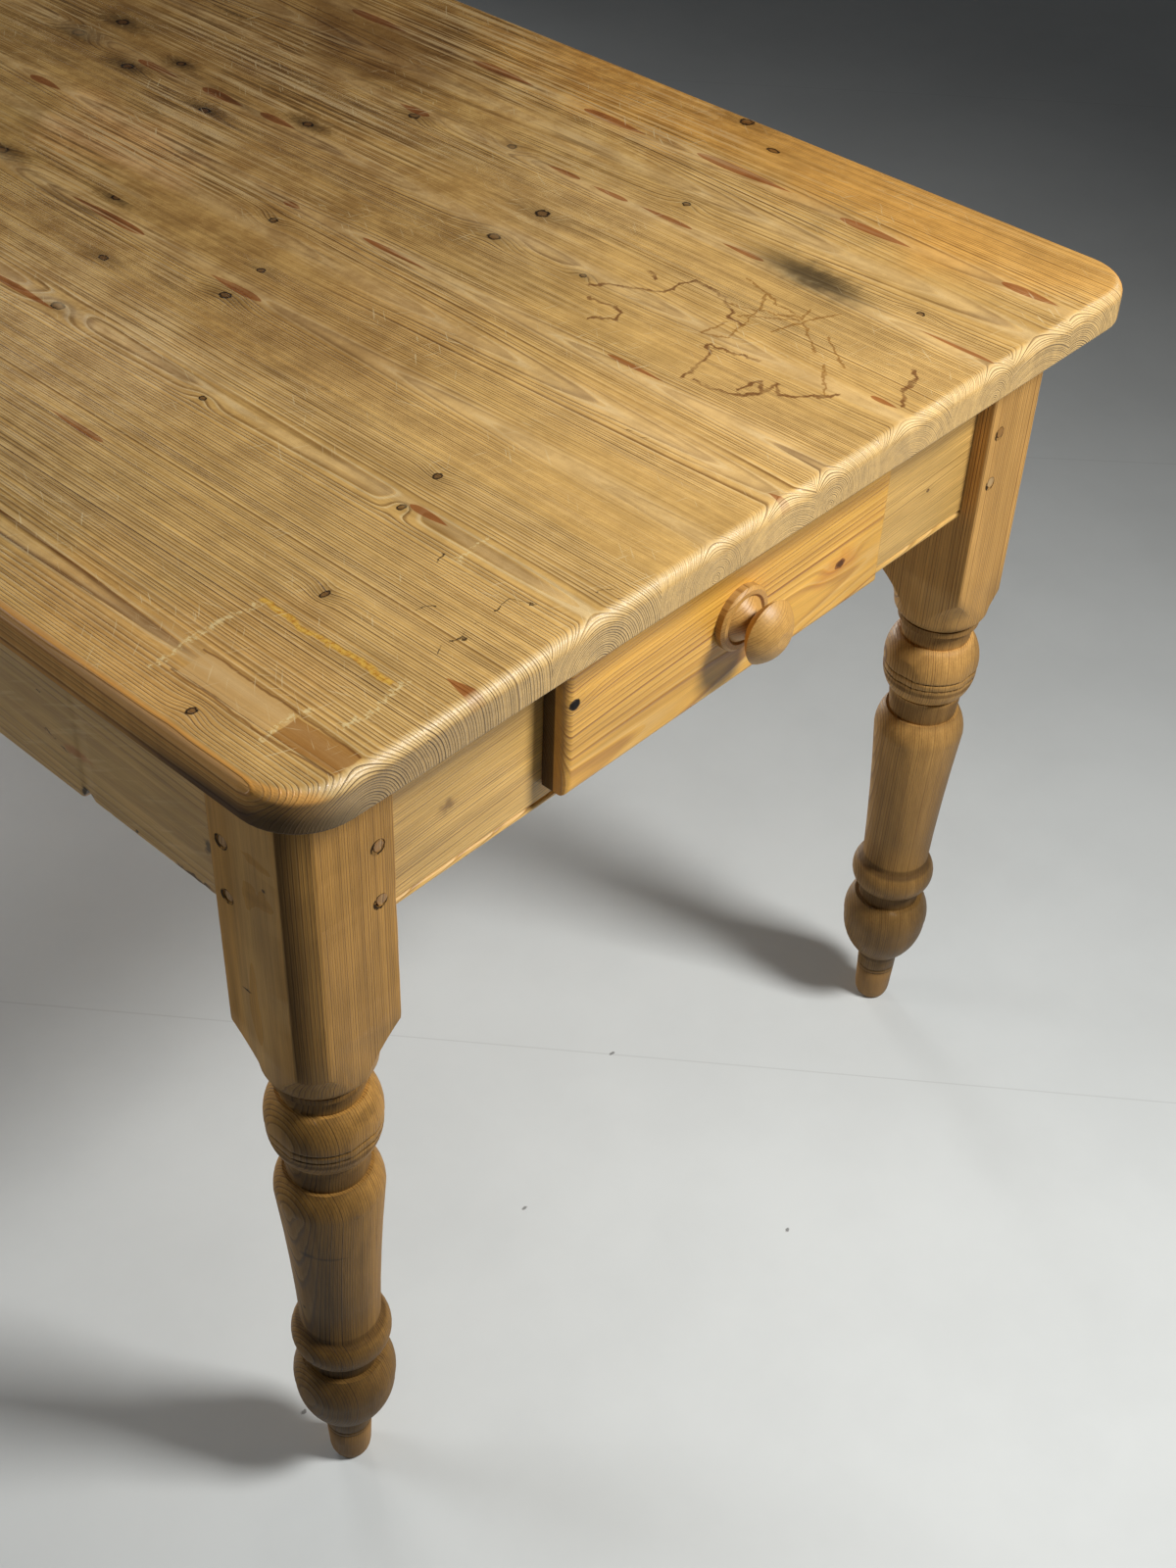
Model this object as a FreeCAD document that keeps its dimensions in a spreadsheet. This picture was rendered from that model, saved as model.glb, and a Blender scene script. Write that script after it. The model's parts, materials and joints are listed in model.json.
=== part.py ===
"""Farmhouse kitchen table with turned legs and a drawer in each end.

The frame of the whole table: X across the top, Y along it with the first drawer at -Y,
Z up, and the origin on the floor under the middle of the top.  Sizes are millimetres.
"""
import FreeCAD, Part
import os
import math
import Sketcher

os.makedirs("parts", exist_ok=True)
doc = FreeCAD.newDocument("KitchenTable")

# ---------------------------------------------------------------- driving dimensions
SIZES = {
    # the top
    "table_height": 765, "top_width": 816, "top_length": 1524, "top_thickness": 29,
    "top_corner_radius": 42, "top_edge_round": 9, "top_under_round": 2.5,
    "board_2": 96, "board_3": 92, "board_4": 74, "board_5": 72, "board_6": 68,
    "board_7": 78, "board_8": 72, "board_9": 72,
    # the legs, squared
    "leg_size": 76, "leg_side_inset": 31.4, "leg_end_inset": 41.5, "leg_chamfer": 15,
    "block_below_apron": 78.5, "blank_radius": 60,
    # the legs, turned: heights of the members from the floor up
    "sole_height": 15, "foot_height": 43.5, "low_ball_height": 45, "low_ball_cap_height": 30,
    "low_neck_height": 19.5, "ring_height": 28, "shoulder_height": 22,
    "high_neck_height": 19.5, "high_fillet_height": 3.5, "high_groove_height": 3.5,
    "high_ball_height": 22.5, "high_ball_cap_height": 31, "collar_neck_height": 16.5,
    "collar_fillet_height": 5, "collar_groove_height": 4.5, "collar_height": 3.5,
    "flare_height": 34.5,
    # the legs, turned: radii of the members
    "sole_radius": 11, "foot_radius": 16.2, "foot_top_radius": 18.3, "low_ball_radius": 37.6,
    "ring_lip_radius": 33.5, "barrel_foot_radius": 29.3, "barrel_radius": 38.2,
    "lip_radius": 31, "low_neck_radius": 27, "neck_radius": 28.5, "high_fillet_radius": 30.5,
    "groove_radius": 29, "high_ball_lip_radius": 33.5, "high_ball_radius": 39.1,
    "collar_fillet_radius": 33.5, "collar_groove_radius": 32, "collar_lip_radius": 36.5,
    "collar_radius": 38.3,
    # the legs, turned: how far a member swells over the straight line between its ends
    "low_ball_swell": 4.9, "ring_swell": 5.2, "barrel_hollow": 1.2, "flare_hollow": 3.4,
    # the aprons and their joints
    "apron_height": 157, "apron_thickness": 22, "apron_setback": 14,
    "bead_width": 5, "quirk_width": 1.5, "tenon_thickness": 12, "tenon_length": 40,
    "tenon_end_gap": 2, "tenon_low_shoulder": 8, "tenon_high_shoulder": 20,
    "peg_radius": 4.5, "peg_play": 0.05, "peg_length": 45, "peg_from_shoulder": 13,
    "peg_rise": 32, "peg_spacing": 44, "side_peg_stagger": 3.5,
    # the drawers
    "drawer_width": 328, "drawer_height": 134, "drawer_thickness": 20, "drawer_round": 6,
    "drawer_top_gap": 3, "drawer_lap": 12, "drawer_low_lap": 5.5, "drawer_gap": 1,
    "drawer_side_play": 1.5, "drawer_run_play": 0.3, "drawer_depth": 480,
    "drawer_board": 12, "key_depth": 9, "key_neck": 8, "key_play": 0.1,
    "panel_thickness": 6, "panel_rise": 10, "panel_groove": 5, "panel_play": 0.5,
    "tail_slope": 2, "pin_height": 14, "drawer_back_drop": 6,
    # runners, guides, kickers and the cross bearers
    "runner_width": 48, "runner_thickness": 22, "runner_under_side": 20, "guide_width": 20,
    "guide_height": 16, "kicker_width": 40, "kicker_thickness": 16, "kicker_play": 3,
    "stub_length": 8, "stub_height": 8, "bearer_thickness": 22, "bearer_rise": 4,
    "bearer_gap": 6,
    # the wooden buttons that hold the top
    "button_length": 32, "button_width": 25, "button_height": 22, "button_gap": 1.5,
    "tongue_length": 7, "tongue_height": 8, "tongue_drop": 10, "tongue_groove": 9,
    "screw_radius": 2, "screw_head_radius": 4, "screw_head_height": 3, "screw_length": 36,
    # the drawer knob
    "knob_height": 57.5, "knob_foot_radius": 24, "knob_foot_thickness": 7,
    "knob_step_radius": 17, "knob_neck_radius": 8.5, "knob_neck_reach": 15,
    "knob_head_radius": 23.3, "knob_head_reach": 26, "knob_reach": 38.5, "knob_chamfer": 2,
    "knob_step": 1.5, "knob_crown_radius": 6, "knob_screw_bite": 20,
}
BOARDS = 10
TAILS_PER_CORNER = 3
PEGS_PER_TENON = 2
SAME_PLACE = 0.01

dims = doc.addObject("Spreadsheet::Sheet", "Dims")
for row, (alias, size) in enumerate(SIZES.items(), start=1):
    dims.set(f"A{row}", alias)
    dims.set(f"B{row}", str(size))
    dims.setAlias(f"B{row}", alias)
doc.recompute()

NODES = []


def size_of(expression):
    """The number that an expression over the sheet gives."""
    result = dims.evalExpression(expression)
    return float(getattr(result, "Value", result))


# ---------------------------------------------------------------- places that pieces share
LEG_X = "(Dims.top_width/2-Dims.leg_side_inset-Dims.leg_size/2)"
LEG_Y = "(Dims.top_length/2-Dims.leg_end_inset-Dims.leg_size/2)"
TOP_UNDER = "(Dims.table_height-Dims.top_thickness)"
APRON_Z = f"({TOP_UNDER}-Dims.apron_height)"
END_FACE = f"({LEG_Y}+Dims.leg_size/2-Dims.apron_setback)"
SIDE_FACE = f"({LEG_X}+Dims.leg_size/2-Dims.apron_setback)"
END_INSIDE = f"({END_FACE}-Dims.apron_thickness)"
SIDE_INSIDE = f"({SIDE_FACE}-Dims.apron_thickness)"
END_SPAN = f"(2*{LEG_X}-Dims.leg_size)"
SIDE_SPAN = f"(2*{LEG_Y}-Dims.leg_size)"
TENON_SET = "((Dims.apron_thickness-Dims.tenon_thickness)/2)"
TENON_TOP = "(Dims.apron_height-Dims.tenon_high_shoulder)"

DRAWER_Z = f"({TOP_UNDER}-Dims.drawer_top_gap-Dims.drawer_height)"
OPENING_HALF = "(Dims.drawer_width/2-Dims.drawer_lap)"
RAIL_HEIGHT = f"({DRAWER_Z}+Dims.drawer_low_lap-{APRON_Z})"
BOX_HALF = f"({OPENING_HALF}-Dims.drawer_side_play)"
BOX_INSIDE = f"({BOX_HALF}-Dims.drawer_board)"
SIDE_LOW = "(Dims.drawer_low_lap+Dims.drawer_run_play)"
SIDE_HIGH = "(Dims.drawer_height+Dims.drawer_top_gap-Dims.kicker_thickness-Dims.kicker_play)"
PANEL_LOW = f"({SIDE_LOW}+Dims.panel_rise)"
PANEL_HIGH = f"({PANEL_LOW}+Dims.panel_thickness)"
BACK_HIGH = f"({SIDE_HIGH}-Dims.drawer_back_drop)"

RUNNER_HIGH = f"({APRON_Z}+{RAIL_HEIGHT})"
RUNNER_LOW = f"({RUNNER_HIGH}-Dims.runner_thickness)"
RUNNER_NEAR = f"({BOX_HALF}-Dims.runner_under_side)"
KICKER_FAR = f"({OPENING_HALF}+Dims.guide_width)"
BEARER_FACE = f"({END_FACE}+Dims.drawer_gap-Dims.drawer_depth-Dims.bearer_gap)"
TONGUE_HIGH = "(Dims.apron_height-Dims.tongue_drop)"
TONGUE_LOW = f"({TONGUE_HIGH}-Dims.tongue_height)"


# ---------------------------------------------------------------- modelling helpers
def place(piece, x="0", y="0", z="0", turned=False):
    """Bind a piece's place to the sheet, turned half round about Z where asked."""
    half_turn = FreeCAD.Rotation(FreeCAD.Vector(0, 0, 1), 180 if turned else 0)
    piece.Placement = FreeCAD.Placement(FreeCAD.Vector(), half_turn)
    for axis, expression in zip("xyz", (x, y, z)):
        piece.setExpression(f"Placement.Base.{axis}", expression)


def keep(piece, name):
    """Mark a piece as one of the table's own parts."""
    piece.Label = name
    NODES.append(piece)
    return piece


def block(name, low, high):
    """A squared piece between two corners, each three expressions."""
    box = doc.addObject("Part::Box", name)
    for side, axis, start, end in zip(("Length", "Width", "Height"), "xyz", low, high):
        box.setExpression(side, f"({end})-({start})")
        box.setExpression(f"Placement.Base.{axis}", start)
    return box


def rod(name, radius, length, centre, axis):
    """A round piece that starts at centre and runs along the axis vector."""
    cylinder = doc.addObject("Part::Cylinder", name)
    cylinder.setExpression("Radius", radius)
    cylinder.setExpression("Height", length)
    turn = FreeCAD.Rotation(FreeCAD.Vector(0, 0, 1), FreeCAD.Vector(*axis))
    cylinder.Placement = FreeCAD.Placement(FreeCAD.Vector(), turn)
    for letter, expression in zip("xyz", centre):
        cylinder.setExpression(f"Placement.Base.{letter}", expression)
    return cylinder


def group(name, pieces):
    """Several separate solids under one name."""
    together = doc.addObject("Part::Compound", name)
    together.Links = pieces
    return together


def joined(name, pieces):
    """Pieces that are one solid."""
    fuse = doc.addObject("Part::MultiFuse", name)
    fuse.Shapes = pieces
    fuse.Refine = True
    return fuse


def cut(name, base, tools):
    """A piece with others cut from it."""
    result = doc.addObject("Part::Cut", name)
    result.Base = base
    result.Tool = tools[0] if len(tools) == 1 else group(name + "_tools", tools)
    result.Refine = True
    return result


def new_body(name):
    return doc.addObject("PartDesign::Body", name)


def sketch_on(body, name, role, offset="0"):
    """A sketch on one of the body's own planes, moved along the plane's normal."""
    sketch = body.newObject("Sketcher::SketchObject", f"{body.Name}_{name}")
    plane = next(f for f in body.Origin.OriginFeatures if f.Role == role)
    sketch.AttachmentSupport = [(plane, "")]
    sketch.MapMode = "FlatFace"
    sketch.setExpression("AttachmentOffset.Base.z", offset)
    return sketch


def pin_point(sketch, index, end, x, y):
    """Hold one end of a sketch element at the place that two expressions give."""
    for kind, expression in (("DistanceX", x), ("DistanceY", y)):
        row = sketch.addConstraint(Sketcher.Constraint(kind, index, end, size_of(expression)))
        sketch.setExpression(f"Constraints[{row}]", expression)


def outline(sketch, corners):
    """Draw a closed loop; a corner (x, y, radius) is reached by an arc, bulging to the
    right of its chord where the radius is given as positive and to the left otherwise."""
    ends = [(size_of(corner[0]), size_of(corner[1])) for corner in corners]
    first = sketch.GeometryCount
    count = len(corners)
    arc_ends = {}
    for i in range(count):
        start, stop = ends[i], ends[(i + 1) % count]
        bend = corners[(i + 1) % count][2:]
        a = FreeCAD.Vector(start[0], start[1], 0)
        b = FreeCAD.Vector(stop[0], stop[1], 0)
        if not bend:
            sketch.addGeometry(Part.LineSegment(a, b), False)
            arc_ends[i] = (1, 2)
            continue
        radius = size_of(bend[0])
        chord = b - a
        side = FreeCAD.Vector(chord.y, -chord.x, 0).normalize() * math.copysign(1, radius)
        sag = abs(radius) - math.sqrt(radius ** 2 - (chord.Length / 2) ** 2)
        sketch.addGeometry(Part.Arc(a, (a + b) / 2 + side * sag, b), False)
        turns_left = radius > 0
        arc_ends[i] = (1, 2) if turns_left else (2, 1)
    for i in range(count):
        geometry = first + i
        following = (i + 1) % count
        pin_point(sketch, geometry, arc_ends[i][0], *corners[i][:2])
        joint = (geometry, arc_ends[i][1], first + following, arc_ends[following][0])
        sketch.addConstraint(Sketcher.Constraint("Coincident", *joint))
        bend = corners[following][2:]
        if bend:
            radius = abs(size_of(bend[0]))
            row = sketch.addConstraint(Sketcher.Constraint("Radius", geometry, radius))
            sketch.setExpression(f"Constraints[{row}]", f"abs({bend[0]})")


def rectangle(sketch, x_low, x_high, y_low, y_high):
    outline(sketch, [(x_low, y_low), (x_high, y_low), (x_high, y_high), (x_low, y_high)])


def circle(sketch, x, y, radius):
    """A circle with its centre and radius bound to the sheet."""
    centre = FreeCAD.Vector(size_of(x), size_of(y), 0)
    shape = Part.Circle(centre, FreeCAD.Vector(0, 0, 1), size_of(radius))
    index = sketch.addGeometry(shape, False)
    pin_point(sketch, index, 3, x, y)
    row = sketch.addConstraint(Sketcher.Constraint("Radius", index, size_of(radius)))
    sketch.setExpression(f"Constraints[{row}]", radius)


def feature(body, kind, name, sketch, length=None, reverse=False, through=False):
    """A pad or a pocket of one sketch."""
    made = body.newObject(f"PartDesign::{kind}", f"{body.Name}_{name}")
    made.Profile = sketch
    made.Reversed = reverse
    if through:
        made.Type = "ThroughAll"
        made.Midplane = True
    else:
        made.setExpression("Length", length)
    sketch.Visibility = False
    return made


def turned(body, kind, name, sketch, axis):
    """A revolution or a groove of one sketch about one of its axes."""
    made = body.newObject(f"PartDesign::{kind}", f"{body.Name}_{name}")
    made.Profile = sketch
    made.ReferenceAxis = (sketch, [axis])
    made.Angle = 360
    return made


def rounded(body, name, radius, chosen):
    """Round the edges of the body's tip that the test picks."""
    doc.recompute()
    tip = body.Tip
    edges = tip.Shape.Edges
    names = [f"Edge{i}" for i, edge in enumerate(edges, start=1) if chosen(edge)]
    fillet = body.newObject("PartDesign::Fillet", f"{body.Name}_{name}")
    fillet.Base = (tip, names)
    fillet.setExpression("Radius", radius)
    return fillet


# ---------------------------------------------------------------- the top
def is_upright(edge):
    return abs(edge.tangentAt(edge.FirstParameter).z) > 0.9


def lies_at(edge, height):
    box = edge.BoundBox
    return abs(box.ZMin - height) < SAME_PLACE and abs(box.ZMax - height) < SAME_PLACE


def button_places():
    """The middle of each button along a side apron, two between the bearers and two outside."""
    between = f"(({BEARER_FACE}-Dims.bearer_thickness)/2)"
    outside = f"(({BEARER_FACE}+{SIDE_SPAN}/2)/2)"
    return [f"(-{outside})", f"(-{between})", between, outside]


SCREW_X = f"({SIDE_INSIDE}-Dims.button_gap-Dims.button_length/2)"
SCREW_Z = f"({TOP_UNDER}-Dims.button_height)"


def make_top():
    """Boards glued edge to edge, then shaped and rounded over as one top."""
    blank = new_body("top_blank")
    plan = sketch_on(blank, "plan", "XY_Plane")
    rectangle(plan, "-Dims.top_width/2", "Dims.top_width/2",
              "-Dims.top_length/2", "Dims.top_length/2")
    feature(blank, "Pad", "slab", plan, "Dims.top_thickness")
    rounded(blank, "corners", "Dims.top_corner_radius", is_upright)
    thickness = size_of("Dims.top_thickness")
    rounded(blank, "upper_edge", "Dims.top_edge_round", lambda edge: lies_at(edge, thickness))
    rounded(blank, "lower_edge", "Dims.top_under_round", lambda edge: lies_at(edge, 0))
    pilots = sketch_on(blank, "pilots", "XY_Plane")
    for side in (-1, 1):
        for y in button_places():
            circle(pilots, f"{side}*{SCREW_X}", y, "Dims.screw_radius")
    feature(blank, "Pocket", "pilots_cut", pilots, "(Dims.screw_length-Dims.button_height)",
            reverse=True)
    place(blank, z=TOP_UNDER)

    inner_boards = [f"Dims.board_{number}" for number in range(2, BOARDS)]
    joints = [f"(-({'+'.join(inner_boards)})/2)"]
    for width in inner_boards:
        joints.append(f"({joints[-1]}+{width})")
    edges = ["(-Dims.top_width/2)", *joints, "(Dims.top_width/2)"]
    for number in range(1, BOARDS + 1):
        strip = block(f"strip_{number}", (edges[number - 1], "-Dims.top_length/2", TOP_UNDER),
                      (edges[number], "Dims.top_length/2", "Dims.table_height"))
        board = doc.addObject("Part::Common", f"board_{number}")
        board.Base = blank
        board.Tool = strip
        keep(board, f"top_board_{number}")


# ---------------------------------------------------------------- the legs
def ball_bend(start, end, rise):
    """The bend of an arc from one radius to another whose middle is on the turning's axis."""
    middle = f"((({end})^2-({start})^2+({rise})^2)/(2*({rise})))"
    return f"sqrt(({start})^2+{middle}^2)"


def turning():
    """The leg's outline from the sole up: corners (radius, height[, bend])."""
    line = [("Dims.sole_radius", "0")]
    rises = []

    def up(rise, radius, *bend):
        """Go up by an expression to a radius, straight or with a bend."""
        rises.append(rise)
        line.append((radius, f"({'+'.join(rises)})", *bend))

    def swell(rise, radius, sag):
        """Go up by an arc that stands off the straight line between its ends by the sag."""
        across = f"(({radius})-({line[-1][0]}))"
        up(rise, radius, f"((({rise})^2+{across}^2)/4+({sag})^2)/(2*({sag}))")

    def ball(rise, radius):
        """Go up by a zone of a ball."""
        up(rise, radius, ball_bend(line[-1][0], radius, rise))

    up("Dims.sole_height", "Dims.foot_radius")
    up("Dims.foot_height", "Dims.foot_top_radius")
    swell("Dims.low_ball_height", "Dims.low_ball_radius", "Dims.low_ball_swell")
    ball("Dims.low_ball_cap_height", "Dims.lip_radius")
    up("0", "Dims.low_neck_radius")
    up("Dims.low_neck_height", "Dims.low_neck_radius")
    up("0", "Dims.ring_lip_radius")
    swell("Dims.ring_height", "Dims.barrel_foot_radius", "Dims.ring_swell")
    above = ("(Dims.shoulder_height+Dims.high_neck_height+Dims.high_fillet_height"
             "+Dims.high_groove_height+Dims.high_ball_height+Dims.high_ball_cap_height"
             "+Dims.collar_neck_height+Dims.collar_fillet_height+Dims.collar_groove_height"
             "+Dims.collar_height+Dims.flare_height)")
    barrel = f"({APRON_Z}-Dims.block_below_apron-{above}-({'+'.join(rises)}))"
    swell(barrel, "Dims.barrel_radius", "-Dims.barrel_hollow")
    ball("Dims.shoulder_height", "Dims.lip_radius")
    up("0", "Dims.neck_radius")
    up("Dims.high_neck_height", "Dims.high_fillet_radius")
    up("Dims.high_fillet_height", "Dims.high_fillet_radius")
    up("0", "Dims.groove_radius")
    up("Dims.high_groove_height", "Dims.high_ball_lip_radius")
    ball("Dims.high_ball_height", "Dims.high_ball_radius")
    ball("Dims.high_ball_cap_height", "Dims.lip_radius")
    up("0", "Dims.neck_radius")
    up("Dims.collar_neck_height", "Dims.high_fillet_radius")
    up("0", "Dims.collar_fillet_radius")
    up("Dims.collar_fillet_height", "Dims.collar_fillet_radius")
    up("0", "Dims.collar_groove_radius")
    up("Dims.collar_groove_height", "Dims.collar_lip_radius")
    up("Dims.collar_height", "Dims.collar_radius")
    corner = "(Dims.leg_size*sqrt(0.5))"
    swell("Dims.flare_height", corner, "-Dims.flare_hollow")
    up(f"(Dims.blank_radius-{corner})", "Dims.blank_radius")
    line.append(("Dims.blank_radius", "0"))
    return line


def make_leg(name, side, end):
    """A square leg, turned below its block; side and end say which corner it stands at."""
    leg = new_body(name)
    half = "Dims.leg_size/2"
    shy = f"({half}-Dims.leg_chamfer)"
    plan = sketch_on(leg, "plan", "XY_Plane")
    outline(plan, [(f"{-side}*{half}", f"{-end}*{half}"), (f"{side}*{half}", f"{-end}*{half}"),
                   (f"{side}*{half}", f"{end}*{shy}"), (f"{side}*{shy}", f"{end}*{half}"),
                   (f"{-side}*{half}", f"{end}*{half}")])
    feature(leg, "Pad", "blank", plan, TOP_UNDER)

    waste = sketch_on(leg, "waste", "XZ_Plane")
    outline(waste, turning())
    turned(leg, "Groove", "turning", waste, "V_Axis")

    tenon_far = f"({half}-Dims.apron_setback-{TENON_SET})"
    tenon_near = f"({tenon_far}-Dims.tenon_thickness)"
    z_low = f"({APRON_Z}+Dims.tenon_low_shoulder)"
    z_high = f"({APRON_Z}+{TENON_TOP})"
    depth = "(Dims.tenon_length+Dims.tenon_end_gap)"
    end_mortise = sketch_on(leg, "end_mortise", "YZ_Plane", f"{-side}*{half}")
    rectangle(end_mortise, f"{end}*{tenon_near}", f"{end}*{tenon_far}", z_low, z_high)
    feature(leg, "Pocket", "end_mortise_cut", end_mortise, depth, reverse=side > 0)
    side_mortise = sketch_on(leg, "side_mortise", "XZ_Plane", f"{end}*{half}")
    rectangle(side_mortise, f"{side}*{tenon_near}", f"{side}*{tenon_far}", z_low, z_high)
    feature(leg, "Pocket", "side_mortise_cut", side_mortise, depth, reverse=end < 0)

    bore = "(Dims.peg_radius+Dims.peg_play)"
    across = f"({half}-Dims.peg_from_shoulder)"
    end_bores = sketch_on(leg, "end_bores", "XZ_Plane", f"{-end}*{half}")
    side_bores = sketch_on(leg, "side_bores", "YZ_Plane", f"{side}*{half}")
    for number in range(PEGS_PER_TENON):
        low = f"({APRON_Z}+Dims.peg_rise+{number}*Dims.peg_spacing)"
        circle(end_bores, f"{-side}*{across}", low, bore)
        circle(side_bores, f"{-end}*{across}", f"({low}+Dims.side_peg_stagger)", bore)
    feature(leg, "Pocket", "end_bores_cut", end_bores, "Dims.peg_length", reverse=end > 0)
    feature(leg, "Pocket", "side_bores_cut", side_bores, "Dims.peg_length", reverse=side < 0)
    place(leg, f"{side}*{LEG_X}", f"{end}*{LEG_Y}")
    keep(leg, name)


def make_pegs(name, side, end):
    """The four draw pegs of one leg, two through each tenon."""
    half = "Dims.leg_size/2"
    across = f"({half}-Dims.peg_from_shoulder)"
    pegs = []
    for number in range(PEGS_PER_TENON):
        low = f"({APRON_Z}+Dims.peg_rise+{number}*Dims.peg_spacing)"
        end_peg = (f"{side}*({LEG_X}-{across})", f"{end}*({LEG_Y}+{half})", low)
        side_peg = (f"{side}*({LEG_X}+{half})", f"{end}*({LEG_Y}-{across})",
                    f"({low}+Dims.side_peg_stagger)")
        pegs.append(rod(f"{name}_end_{number}", "Dims.peg_radius", "Dims.peg_length",
                        end_peg, (0, -end, 0)))
        pegs.append(rod(f"{name}_side_{number}", "Dims.peg_radius", "Dims.peg_length",
                        side_peg, (-side, 0, 0)))
    keep(group(name, pegs), name)


# ---------------------------------------------------------------- the aprons
def tenons(body, role, offset, span, stagger, reverse):
    """A tenon at each end of a board, bored for its pegs."""
    drawing = sketch_on(body, "tenon_face", role, offset)
    for hand in (-1, 1):
        shoulder = f"({hand}*({span}/2-{TENON_SET}))"
        tip = f"({hand}*({span}/2+Dims.tenon_length))"
        rectangle(drawing, shoulder, tip, "Dims.tenon_low_shoulder", TENON_TOP)
        for number in range(PEGS_PER_TENON):
            circle(drawing, f"({hand}*({span}/2+Dims.peg_from_shoulder))",
                   f"(Dims.peg_rise+{number}*Dims.peg_spacing+{stagger})",
                   "(Dims.peg_radius+Dims.peg_play)")
    feature(body, "Pad", "tenons", drawing, "Dims.tenon_thickness", reverse=reverse)


def make_end_apron(name, turned_round):
    """An end board, notched for its drawer and beaded along its lower edge."""
    apron = new_body(name)
    half = f"({END_SPAN}/2)"
    face = sketch_on(apron, "face", "XZ_Plane")
    outline(face, [(f"-{half}", "0"), (half, "0"), (half, "Dims.apron_height"),
                   (OPENING_HALF, "Dims.apron_height"), (OPENING_HALF, RAIL_HEIGHT),
                   (f"-{OPENING_HALF}", RAIL_HEIGHT), (f"-{OPENING_HALF}", "Dims.apron_height"),
                   (f"-{half}", "Dims.apron_height")])
    feature(apron, "Pad", "board", face, "Dims.apron_thickness", reverse=True)
    tenons(apron, "XZ_Plane", f"-{TENON_SET}", END_SPAN, "0", reverse=True)

    bead = "(Dims.bead_width/2)"
    corner = sketch_on(apron, "bead_under", "YZ_Plane")
    outline(corner, [("0", "0"), (bead, "0"), ("0", bead, f"-{bead}")])
    feature(apron, "Pocket", "bead_under_cut", corner, through=True)
    quirk = sketch_on(apron, "quirk", "YZ_Plane")
    quirk_top = "(Dims.bead_width+Dims.quirk_width)"
    outline(quirk, [("0", bead), (bead, "Dims.bead_width", f"-{bead}"),
                    (bead, quirk_top), ("0", quirk_top)])
    feature(apron, "Pocket", "quirk_cut", quirk, through=True)

    inside = "-Dims.apron_thickness"
    stub_low = f"({RAIL_HEIGHT}-Dims.runner_thickness/2-Dims.stub_height/2)"
    stubs = sketch_on(apron, "stub_mortises", "XZ_Plane", inside)
    kickers = sketch_on(apron, "kicker_housings", "XZ_Plane", inside)
    kicker_low = "(Dims.apron_height-Dims.kicker_thickness)"
    for hand in (-1, 1):
        rectangle(stubs, f"{hand}*{RUNNER_NEAR}", f"{hand}*({RUNNER_NEAR}+Dims.runner_width)",
                  stub_low, f"({stub_low}+Dims.stub_height)")
        rectangle(kickers, f"{hand}*{OPENING_HALF}", f"{hand}*{KICKER_FAR}",
                  kicker_low, "Dims.apron_height")
    feature(apron, "Pocket", "stub_cut", stubs, "Dims.stub_length", reverse=True)
    feature(apron, "Pocket", "kicker_cut", kickers, "Dims.stub_length", reverse=True)
    place(apron, y=f"{1 if turned_round else -1}*{END_FACE}", z=APRON_Z, turned=turned_round)
    keep(apron, name)


def make_side_apron(name, turned_round):
    """A long board, grooved inside for the top's buttons and housed for the bearers."""
    apron = new_body(name)
    half = f"({SIDE_SPAN}/2)"
    face = sketch_on(apron, "face", "YZ_Plane")
    rectangle(face, f"-{half}", half, "0", "Dims.apron_height")
    feature(apron, "Pad", "board", face, "Dims.apron_thickness")
    tenons(apron, "YZ_Plane", TENON_SET, SIDE_SPAN, "Dims.side_peg_stagger", reverse=False)

    groove = sketch_on(apron, "button_groove", "YZ_Plane", "Dims.apron_thickness")
    rectangle(groove, f"-{half}", half, TONGUE_LOW, TONGUE_HIGH)
    feature(apron, "Pocket", "groove_cut", groove, "Dims.tongue_groove")
    housing = sketch_on(apron, "bearer_housings", "YZ_Plane", "Dims.apron_thickness")
    for hand in (-1, 1):
        rectangle(housing, f"{hand}*({BEARER_FACE}-Dims.bearer_thickness)",
                  f"{hand}*{BEARER_FACE}", "Dims.bearer_rise", "Dims.apron_height")
    feature(apron, "Pocket", "housing_cut", housing, "Dims.stub_length")
    place(apron, x=f"{1 if turned_round else -1}*{SIDE_FACE}", z=APRON_Z, turned=turned_round)
    keep(apron, name)


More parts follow.
